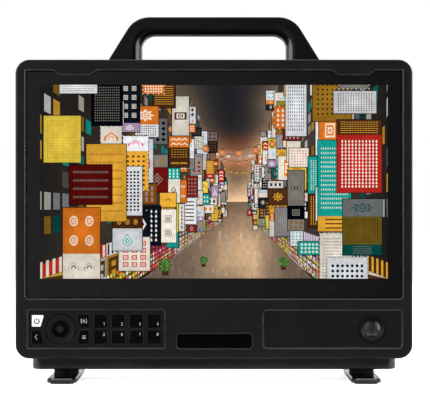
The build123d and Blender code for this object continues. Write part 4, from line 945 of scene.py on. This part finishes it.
def draw_house(shapes, chance, side, near, far, lights):
    """A house between two depths: a dark wall lit by the air's glow, windows, a shop front and an awning."""
    roof = chance.uniform(120, 230)
    wall = house_front(side, near, far, GROUND, roof)
    patches = on_patch(wall, unit_grid(*WALL_CELLS))
    tint = chance.uniform(0.5, 1.6) * WALL_COLOUR
    shapes.add(patches, 0.6 * tint + 0.22 * glow_at(patches, lights))
    windows = pattern("tile", 5, int((roof - GROUND) / FLOOR_HEIGHT)) * (1.0, 0.8) + (0.0, 0.2)
    for window in windows[chance.random(len(windows)) < 0.5]:
        colour = PALETTE[pick(chance, ("cream", "amber", "white", "teal"))]
        shapes.add(on_patch(wall, window), colour * chance.uniform(0.05, 0.55))
    front = house_front(side, near, far, GROUND, GROUND + SHOP_HEIGHT)
    colour = PALETTE[pick(chance, ("cream", "white", "amber", "rose", "yellow", "teal"))]
    shapes.add_glowing(front, colour * chance.uniform(0.7, 1.0), 0.45)
    shapes.add(on_patch(front, pattern("post", int(chance.integers(4, 9)), 1)), colour * 0.10)
    shapes.add(on_patch(front, pattern("bar", 1, 5)), PALETTE["brown"])
    goods = on_patch(front, pattern("dot", 9, 4) * (1.0, 0.55) + (0.0, 0.06))
    hues = np.array([PALETTE[name] for name in ("orange", "yellow", "white", "rose", "lime")])
    shapes.add(goods, hues[chance.integers(5, size=len(goods))][:, None, :] * 0.8)
    awning = house_front(side, near, far, GROUND + SHOP_HEIGHT, GROUND + SHOP_HEIGHT + AWNING_HEIGHT)
    first, second = (PALETTE[name] * 0.75 for name in pick(chance, BOARD_COLOURS))
    shapes.add(awning, first)
    shapes.add(on_patch(awning, pattern("post", 7, 1)), second)


def draw_ground(shapes, chance, width, lights):
    """Wet ground: it mirrors the glow above it, drawn out, with streaks that fade towards the front."""
    high = VANISHING[1] + 6

    def ground_light(points):
        """The night's colour and the glow that the ground mirrors."""
        return NIGHT * 1.5 + 0.55 * glow_at(points * (1.0, -0.55) + (0.0, high + 6), lights)

    patches = unit_grid(*GROUND_CELLS) * (width, high)
    shapes.add(patches, ground_light(patches))
    fade = np.array([[0.0], [0.0], [0.16], [0.16]])
    count = 16
    for colour in ("orange", "cream", "amber", "rose", "teal", "white"):
        x, reach = chance.uniform(0, width, count), chance.uniform(4, 16, count)
        tops = np.stack([x, chance.uniform(4, VANISHING[1] - 14, count)], axis=-1)
        sizes = np.stack([np.ones(count), reach], axis=-1)
        streaks = tops[:, None, :] + rectangle(-0.8, -1.6, 0.8, 0) * sizes[:, None, :]
        shapes.add(streaks, ground_light(streaks) + fade * PALETTE[colour])


def draw_shrub(shapes, chance, middle, size):
    """A shrub in a pot: leaves drawn about a round crown, the lit ones last."""
    shapes.add(rectangle(-0.4, -0.9, 0.4, -0.2) * size + middle, PALETTE["brown"] * 0.8)
    leaf = round_mark(0.17 * size, 6) * (1.0, 0.55)
    for shade, count in ((0.25, 60), (0.6, 50), (1.1, 26)):
        angle, away = chance.uniform(0, 2 * math.pi, count), size * np.sqrt(chance.random(count)) * 0.75
        places = on_circle(angle) * away[:, None] + middle + (0.0, size * 0.35)
        shapes.add(places[:, None, :] + leaf, LEAF_COLOUR * shade)


def draw_lanterns(shapes, string):
    """One string of lanterns: its wire, and a globe with three level ribs and two dark caps for each."""
    places, radius, colour = string["places"], string["radius"], string["colour"]
    low, high = (places + (0.0, 1.25 * radius + half) for half in (-0.16, 0.16))
    shapes.add(np.stack([low[:-1], low[1:], high[1:], high[:-1]], axis=1), grey(0.03))
    shapes.add_lamps(places, (radius, 0.94 * radius), np.minimum(colour + 0.25, 1.0), colour * 0.62, 18)
    bands = [(level, 0.96 * math.sqrt(1 - level * level), 0.05, colour * 0.45) for level in (-0.5, 0.0, 0.5)]
    bands += [(level, 0.42, 0.1, PALETTE["brown"]) for level in (-0.96, 0.96)]
    for level, reach, half, shade in bands:
        band = rectangle(-reach, level - half, reach, level + half) * radius
        shapes.add(places[:, None, :] + band, shade)


def draw_picture(seed, width, height):
    """The whole picture, from the far end of the street to its near end."""
    chance = np.random.default_rng(seed)
    shapes = LitShapes()
    boards, strings = place_boards(chance), place_lanterns(chance)
    lights = gather_lights(boards, strings)
    sky = unit_grid(*SKY_CELLS) * (width, height)
    shapes.add(sky, NIGHT + glow_at(sky, lights))
    draw_ground(shapes, chance, width, lights)
    for near, far in zip(BUILDING_DEPTHS[:-1][::-1], BUILDING_DEPTHS[1:][::-1]):
        for side in (-1, 1):
            draw_house(shapes, chance, side, near, far, lights)
        for string in strings:
            if near <= string["depth"] < far:
                draw_lanterns(shapes, string)
        # From the first houses nearer than a depth of 1 on, all boards in front of them are drawn with them.
        for board in sorted(boards, key=lambda board: -board["depth"]):
            if near <= board["depth"] < far or (near < 1 and board["depth"] < near):
                draw_board(shapes, chance, board)
    for x, z, size in SHRUBS:
        draw_shrub(shapes, chance, (x * width, z * height), size)
    return shapes


def picture_surface(shapes, width, height, front_y):
    """The gathered shapes as one mesh's points, faces and corner colours, each layer a step nearer.

    Corners outside the picture are moved onto its edge, and shapes that this makes flat are left out.
    """
    points, faces, colours, first = [], [], [], 0
    for layer, (outlines, tints) in enumerate(zip(shapes.points, shapes.colours)):
        outlines = np.clip(outlines * MM, 0, (width, height))
        seen = np.ptp(outlines, axis=1).min(axis=1) > SMALLEST_SHAPE
        outlines = outlines[seen] + (-width / 2, PICTURE_MIDDLE_Z - height / 2)
        points.append(upright(outlines, front_y - layer * LAYER_STEP).reshape(-1, 3))
        total = seen.sum() * outlines.shape[1]
        faces += (first + np.arange(total).reshape(-1, outlines.shape[1])).tolist()
        colours.append(tints[seen].reshape(-1, 3))
        first += total
    return np.concatenate(points), faces, np.concatenate(colours)


# Operators: one for each group of pieces.


class MONITOR_OT_case_finish(bpy.types.Operator):
    """Coats the case, the handle, the rail and the feet"""

    bl_idname = "monitor.case_finish"
    bl_label = "Case finish"

    def execute(self, context):
        case = context.scene.monitor_case
        body, feet = case.case_colour, case.foot_colour
        # The speaker's funnel, where the cover gets painted shade.
        low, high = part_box("speaker_grille")
        funnel = (*middle_of("speaker_grille"), high.x - low.x)
        for name, colour, roughness, grain_share, wear_share, dust, specular, nodes in (
            ("case", body, 0.30, 1.0, 1.0, 0.05, 0.19, "front_frame rear_housing"),
            ("cover", lighter(body, 0.95), 0.30, 1.0, 1.0, 0.05, 0.14, "speaker_cover"),
            ("socket_plate", body, 0.30, 0.7, 1.0, 0.05, 0.19, "socket_plate"),
            ("handle", case.handle_colour, 0.19, 0.8, 0.15, 0.01, 0.42, "handle"),
            ("rail", feet, 0.11, 0.6, 0.6, 0.01, 0.70, "bottom_rail"),
            ("foot", feet, 0.11, 1.0, 0.2, 0.0, 0.45, "foot_left foot_right"),
            ("spacer", feet, 0.60, 1.0, 0.0, 0.0, 0.10, "foot_spacers"),
        ):
            shares = (grain_share, wear_share)
            hole = funnel if name == "cover" else None
            coat = coated_finish(f"{name}_coating", colour, case, roughness, *shares, dust, specular, hole)
            dress(coat, *nodes.split())
        screws = [f"{place}_screws" for place in ("case", "rear", "handle", "rail", "foot")]
        dress(metal_finish("blackened_steel", (0.035, 0.035, 0.036), 0.38, wear=0.5), *screws)
        return {"FINISHED"}


class MONITOR_OT_control_finish(bpy.types.Operator):
    """Finishes the control plate, the keys and the joystick"""

    bl_idname = "monitor.control_finish"
    bl_label = "Control finish"

    def execute(self, context):
        control, case = context.scene.monitor_control, context.scene.monitor_case
        shares = {"grain_share": 0.6, "wear_share": 0.45}
        coat = {"roughness": 0.30, "dust": 0.03, "specular": 0.19}
        plate = coated_finish("control_plate_coating", control.plate_colour, case, **shares, **coat)
        # Painted shade in the dark rims of the dish and the cap, and a painted highlight in the cap's lighter
        # middle.
        dish_and_rim_shade_colours = (0.0042, 0.0042, 0.0040), grey(0.0002)
        cap_highlight_and_shade_colours = (0.0085, 0.0085, 0.0083), grey(0.0004)
        dish = ringed_finish("dish_plastic", "joystick_dish", 11.7 * MM, 12.2 * MM, *dish_and_rim_shade_colours, 0.50, 0.12)
        cap = ringed_finish("cap_rubber", "joystick_cap", 2.2 * MM, 3.6 * MM, *cap_highlight_and_shade_colours, 0.72, 0.04)
        key = smooth_finish("key_plastic", control.key_colour, 0.34, specular=0.06, smudge=0.2)
        keys = [f"button_{key_name}" for key_name in (*range(1, 9), "back", "touch", "menu", "power")]
        dress(plate, "control_plate")
        dress(dish, "joystick_dish")
        dress(cap, "joystick_cap")
        dress(key, *keys)
        gloss = smooth_finish("gloss_plate", control.key_colour, 0.16, specular=0.03, smudge=0.12)
        dress(gloss, "name_plate")
        dress(rubber_finish("rubber", context.scene.monitor_metal.rubber_colour), "foot_pads", "glass_gasket")
        return {"FINISHED"}


class MONITOR_OT_metal_finish(bpy.types.Operator):
    """Finishes bare metal, boards, fans and sockets"""

    bl_idname = "monitor.metal_finish"
    bl_label = "Metal and board finish"

    def execute(self, context):
        metal = context.scene.monitor_metal
        for name, colour, roughness, streak_width, streak_length, nodes in (
            ("bare_aluminium", metal.aluminium_colour, 0.34, 0.25, 20, "heat_sink backlight_tray"),
            ("plated_steel", metal.steel_colour, 0.30, 0.20, 6, "board_spacers board_screws joystick_stick"),
            ("dark_magnet", (0.02, 0.02, 0.021), 0.45, 0.25, 20, "protector_magnets"),
            ("contact_metal", metal.brass_colour, 0.25, 0.25, 4, "power_pins"),
            ("socket_metal", (0.55, 0.56, 0.57), 0.24, 0.25, 3, "video_sockets hdmi_socket network_socket"),
            ("grille_metal", (0.12, 0.12, 0.124), 0.30, 0.30, 10, "speaker_grille"),
        ):
            finish = metal_finish(name, colour, roughness, streak_width * MM, streak_length * MM)
            dress(finish, *nodes.split())
        fan = smooth_finish("fan_plastic", (0.006, 0.006, 0.0062), 0.42)
        socket = smooth_finish("socket_plastic", (0.0045, 0.0045, 0.0047), 0.38)
        board = board_finish("board_lacquer", metal.board_colour)
        dress(fan, "fan_frames", "fan_left_rotor", "fan_right_rotor", "speaker_driver")
        dress(fan, "joystick_base", "joystick_ring", "joystick_rocker")
        dress(socket, "power_socket", "audio_socket")
        dress(board, "main_board", "power_board", "led_board", "key_board", "socket_board")
        return {"FINISHED"}


class MONITOR_OT_display(bpy.types.Operator):
    """Makes the glass, its printed border and the layers behind the picture"""

    bl_idname = "monitor.display"
    bl_label = "Display glass"

    def execute(self, context):
        dress(glass_finish("display_glass"), "display_glass")
        dress(panel_finish("screen_panel", (0.004, 0.004, 0.005), 0.3), "screen_panel")
        dress(panel_finish("diffuser_sheet", (0.82, 0.83, 0.84), 0.5), "diffuser_sheet")
        edge = 0.4 * MM
        half_width, half_height = PICTURE_WIDTH / 2, PICTURE_HEIGHT / 2
        outer = rectangle(GLASS_LOW.x + edge, GLASS_LOW.z + edge, GLASS_HIGH.x - edge, GLASS_HIGH.z - edge)
        inner = rectangle(-half_width, -half_height, half_width, half_height) + (0.0, PICTURE_MIDDLE_Z)
        back_y = GLASS_LOW.y - 0.01 * MM
        points, faces = tube_surface(outer, inner, back_y - PRINT_THICKNESS, back_y)
        ink = border_finish("border_film", grey(0.0009))
        add_piece("glass_border", points, faces, ink, "monitor", "gasket_black")
        return {"FINISHED"}


class MONITOR_OT_picture(bpy.types.Operator):
    """Draws the lit picture behind the glass"""

    bl_idname = "monitor.picture"
    bl_label = "Lit picture"

    def execute(self, context):
        settings = context.scene.monitor_picture
        shapes = draw_picture(settings.pattern_seed, PICTURE_WIDTH / MM, PICTURE_HEIGHT / MM)
        front_y = GLASS_HIGH.y - 0.06 * MM
        points, faces, colours = picture_surface(shapes, PICTURE_WIDTH, PICTURE_HEIGHT, front_y)
        material = picture_finish("picture_light", settings.brightness)
        piece = add_piece("screen_picture", points, faces, material, "monitor", "screen")
        light = piece.data.color_attributes.new("light", "FLOAT_COLOR", "POINT")
        rgba = np.column_stack([colours, np.ones(len(colours))])
        light.data.foreach_set("color", rgba.astype(np.float32).ravel())
        return {"FINISHED"}


class MONITOR_OT_key_signs(bpy.types.Operator):
    """Prints the signs on the keys"""

    bl_idname = "monitor.key_signs"
    bl_label = "Key signs"

    def execute(self, context):
        control = context.scene.monitor_control
        ink = sign_finish("sign_ink", control.sign_colour)
        dark_ink = sign_finish("dark_sign_ink", grey(0.012), 0.1)
        stroke, height = control.stroke_width, control.number_height
        for number in range(1, 9):
            anchor, above = ((1, 0), 4.1 * MM) if number <= 4 else ((1, 1), -4.1 * MM)
            offset, size = (-2.9 * MM, above), (height * 0.9, height)
            add_sign(f"number_sign_{number}", str(number), anchor, offset, size, stroke, ink)
        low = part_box("button_power")[0]
        window = np.array([[1.05, 1.8], [8.3, 1.8], [11.2, 11.45], [1.05, 11.45]]) * MM + (low.x, low.z)
        points, faces = plate_surface(window, 0.8 * MM, low.y - PRINT_THICKNESS, low.y + 0.3 * MM)
        lit = lit_window_finish("lit_window", control.lit_colour)
        add_piece("power_window", points, faces, lit, "button_power", "button_black")
        for key, anchor, offset, size, width, material, lift in (
            ("power", (0, 0.5), (5.2, 0.2), (5.0, 5.0), 0.95 * MM, dark_ink, 0.08 * MM),
            ("back", (0, 0.5), (4.7, 0.1), (4.8, 4.6), 1.3 * stroke, ink, 0.0),
            ("touch", (1, 0.5), (-5.2, 0.3), (4.6, 4.3), 1.3 * stroke, ink, 0.0),
            ("menu", (1, 0.5), (-5.0, 0.0), (3.0, 2.7), 1.5 * stroke, ink, 0.0),
        ):
            offset, size = np.multiply(offset, MM), np.multiply(size, MM)
            add_sign(f"{key}_sign", key, anchor, offset, size, width, material, lift)
        return {"FINISHED"}


class MONITOR_OT_stage(bpy.types.Operator):
    """Sets up the floor, the lamps, the room's light and the camera"""

    bl_idname = "monitor.stage"
    bl_label = "Stage"

    def execute(self, context):
        stage = context.scene.monitor_stage
        add_floor(stage)
        add_room_light(context.scene, stage)
        for name, power, place, target, size in (
            ("top_box", stage.top_power, (0.0, -0.25, 1.25), (0.0, 0.0, 0.15), (1.5, 1.0)),
            ("key_box", stage.key_power, (-1.25, -1.25, 0.75), (0.0, 0.0, 0.16), (0.9, 0.9)),
            ("edge_strip", stage.edge_power, (0.0, 0.04, 1.35), (0.0, 0.0, 0.27), (1.8, 0.16)),
            ("left_box", stage.side_power * 0.85, (-1.5, -0.50, 0.35), (0.0, -0.03, 0.16), (2.0, 1.2)),
            ("right_box", stage.side_power, (1.5, -0.50, 0.35), (0.0, -0.03, 0.16), (2.0, 1.2)),
            ("back_box", stage.fill_power, (0.6, 1.5, 0.9), (0.0, 0.0, 0.15), (1.2, 0.9)),
            ("bounce_box", stage.bounce_power, (0.0, -0.60, 0.02), (0.0, -0.03, 0.22), (1.2, 0.25)),
        ):
            lamp = add_lamp(name, power, place, target, size)
            lamp.visible_glossy = name != "bounce_box"
        add_camera(context.scene, stage)
        context.scene.view_settings.view_transform = "Standard"
        return {"FINISHED"}


def add_floor(stage):
    """A pale floor: a level grid at z = 0, which ends in the dark in front when gloss shows it."""
    edge, count = 6, 49
    x, y = np.meshgrid(np.linspace(-edge, edge, count), np.linspace(-stage.sheet_front, edge, count))
    points = np.stack([x, y, np.zeros_like(x)], axis=-1).reshape(-1, 3)
    index = np.arange(count * count).reshape(count, count)
    faces = np.stack([index[:-1, :-1], index[:-1, 1:], index[1:, 1:], index[1:, :-1]], axis=-1).reshape(-1, 4)
    nodes = Finish("floor_paint")
    path = nodes.put("LightPath")
    forward = nodes.axes(nodes.place())["Y"]
    far = nodes.smooth(forward, -stage.sheet_reach, -1.15 * stage.sheet_reach)
    behind = nodes.smooth(forward, 0.10, 0.30)
    dim = nodes.times(nodes.math("MAXIMUM", far, behind), path["Is Glossy Ray"])
    seen = nodes.math("MAXIMUM", path["Is Camera Ray"], path["Is Transmission Ray"])
    away = nodes.vector("LENGTH", nodes.place())["Value"]
    pale = nodes.mix(nodes.smooth(away, 0.25, 1.2), grey(0.74), grey(1.0))
    base = nodes.mottled(nodes.grain(2 * MM, 400 * MM), stage.floor_colour, 0.99, 1.01)
    material = nodes.shade(
        Base_Color=nodes.mix(dim, base, DIM_IN_GLOSS),
        Emission_Color=nodes.mix(seen, grey(0.0), pale),
        Emission_Strength=1.0,
        Roughness=0.9,
        Specular_IOR_Level=0.1,
    )
    floor = add_object("floor", points, faces.tolist(), material)


def add_room_light(scene, stage):
    """White for the camera and through glass. Gloss shows a white room, dim in front and dark below."""
    scene.world = bpy.data.worlds.new("room")
    scene.world.use_nodes = True
    nodes = Nodes(scene.world.node_tree)
    nodes.tree.nodes.clear()
    path = nodes.put("LightPath")
    axes = nodes.axes(nodes.put("TexCoord")["Generated"])
    slope = {"Value": axes["X"], "From Min": -0.25, "From Max": 0.25, "To Min": 0.42, "To Max": 0.0}
    front_end = nodes.put("MapRange", slope)["Result"]
    around = nodes.mix(nodes.smooth(axes["Z"], 0.0, -0.25), grey(1.0), DIM_IN_GLOSS)
    gloss = nodes.mix(nodes.smooth(axes["Y"], -0.20, -0.72), around, front_end)
    seen = nodes.math("MAXIMUM", path["Is Camera Ray"], path["Is Transmission Ray"])
    soft = nodes.mix(path["Is Glossy Ray"], grey(stage.room_light), gloss)
    shade = nodes.mix(seen, soft, grey(1.0))
    background = nodes.put("Background", {"Color": shade, "Strength": 1.0})
    nodes.put("OutputWorld", {"Surface": background[0]})


def add_lamp(name, power, place, target, size):
    """A soft box that looks at a point."""
    data = bpy.data.lights.new(name, "AREA")
    data.shape = "RECTANGLE"
    data.size, data.size_y = size
    data.energy = power
    lamp = bpy.data.objects.new(name, data)
    lamp.location = place
    away = lamp.location - type(lamp.location)(target)
    lamp.rotation_euler = away.to_track_quat("Z", "Y").to_euler()
    bpy.context.scene.collection.objects.link(lamp)
    return lamp


def add_camera(scene, stage):
    """A level camera straight in front. The lens gives the view's width at the case's front."""
    data = bpy.data.cameras.new("camera")
    data.sensor_fit = "HORIZONTAL"
    data.sensor_width = 36.0
    data.lens = data.sensor_width * stage.camera_distance / stage.view_width
    data.clip_start, data.clip_end = 0.01, 50.0
    camera = bpy.data.objects.new("camera", data)
    camera.location = (stage.camera_side, CASE_FRONT_Y - stage.camera_distance, stage.camera_height)
    camera.rotation_euler = (math.radians(90), 0.0, 0.0)
    scene.collection.objects.link(camera)
    scene.camera = camera


OPERATORS = (
    MONITOR_OT_case_finish,
    MONITOR_OT_control_finish,
    MONITOR_OT_metal_finish,
    MONITOR_OT_display,
    MONITOR_OT_picture,
    MONITOR_OT_key_signs,
    MONITOR_OT_stage,
)
SETTINGS = {
    "monitor_case": MonitorCaseSettings,
    "monitor_control": MonitorControlSettings,
    "monitor_picture": MonitorPictureSettings,
    "monitor_metal": MonitorMetalSettings,
    "monitor_stage": MonitorStageSettings,
}


class MONITOR_PT_looks(bpy.types.Panel):
    """Lists the steps that dress the monitor"""

    bl_idname = "MONITOR_PT_looks"
    bl_label = "Monitor"
    bl_space_type = "VIEW_3D"
    bl_region_type = "UI"
    bl_category = "Monitor"

    def draw(self, context):
        for operator in OPERATORS:
            self.layout.operator(operator.bl_idname)
        for name in SETTINGS:
            box = self.layout.box()
            settings = getattr(context.scene, name)
            for key in settings.__annotations__:
                box.prop(settings, key)


def register():
    """Adds the settings, the operators and the panel."""
    for name, settings in SETTINGS.items():
        bpy.utils.register_class(settings)
        setattr(bpy.types.Scene, name, bpy.props.PointerProperty(type=settings))
    for operator in OPERATORS:
        bpy.utils.register_class(operator)
    bpy.utils.register_class(MONITOR_PT_looks)


def unregister():
    """Takes them away again."""
    bpy.utils.unregister_class(MONITOR_PT_looks)
    for operator in reversed(OPERATORS):
        bpy.utils.unregister_class(operator)
    for name, settings in SETTINGS.items():
        delattr(bpy.types.Scene, name)
        bpy.utils.unregister_class(settings)


def main():
    """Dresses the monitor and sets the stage."""
    register()
    for operator in OPERATORS:
        step = operator.bl_idname.split(".")[1]
        getattr(bpy.ops.monitor, step)()


if __name__ == "__main__":
    main()
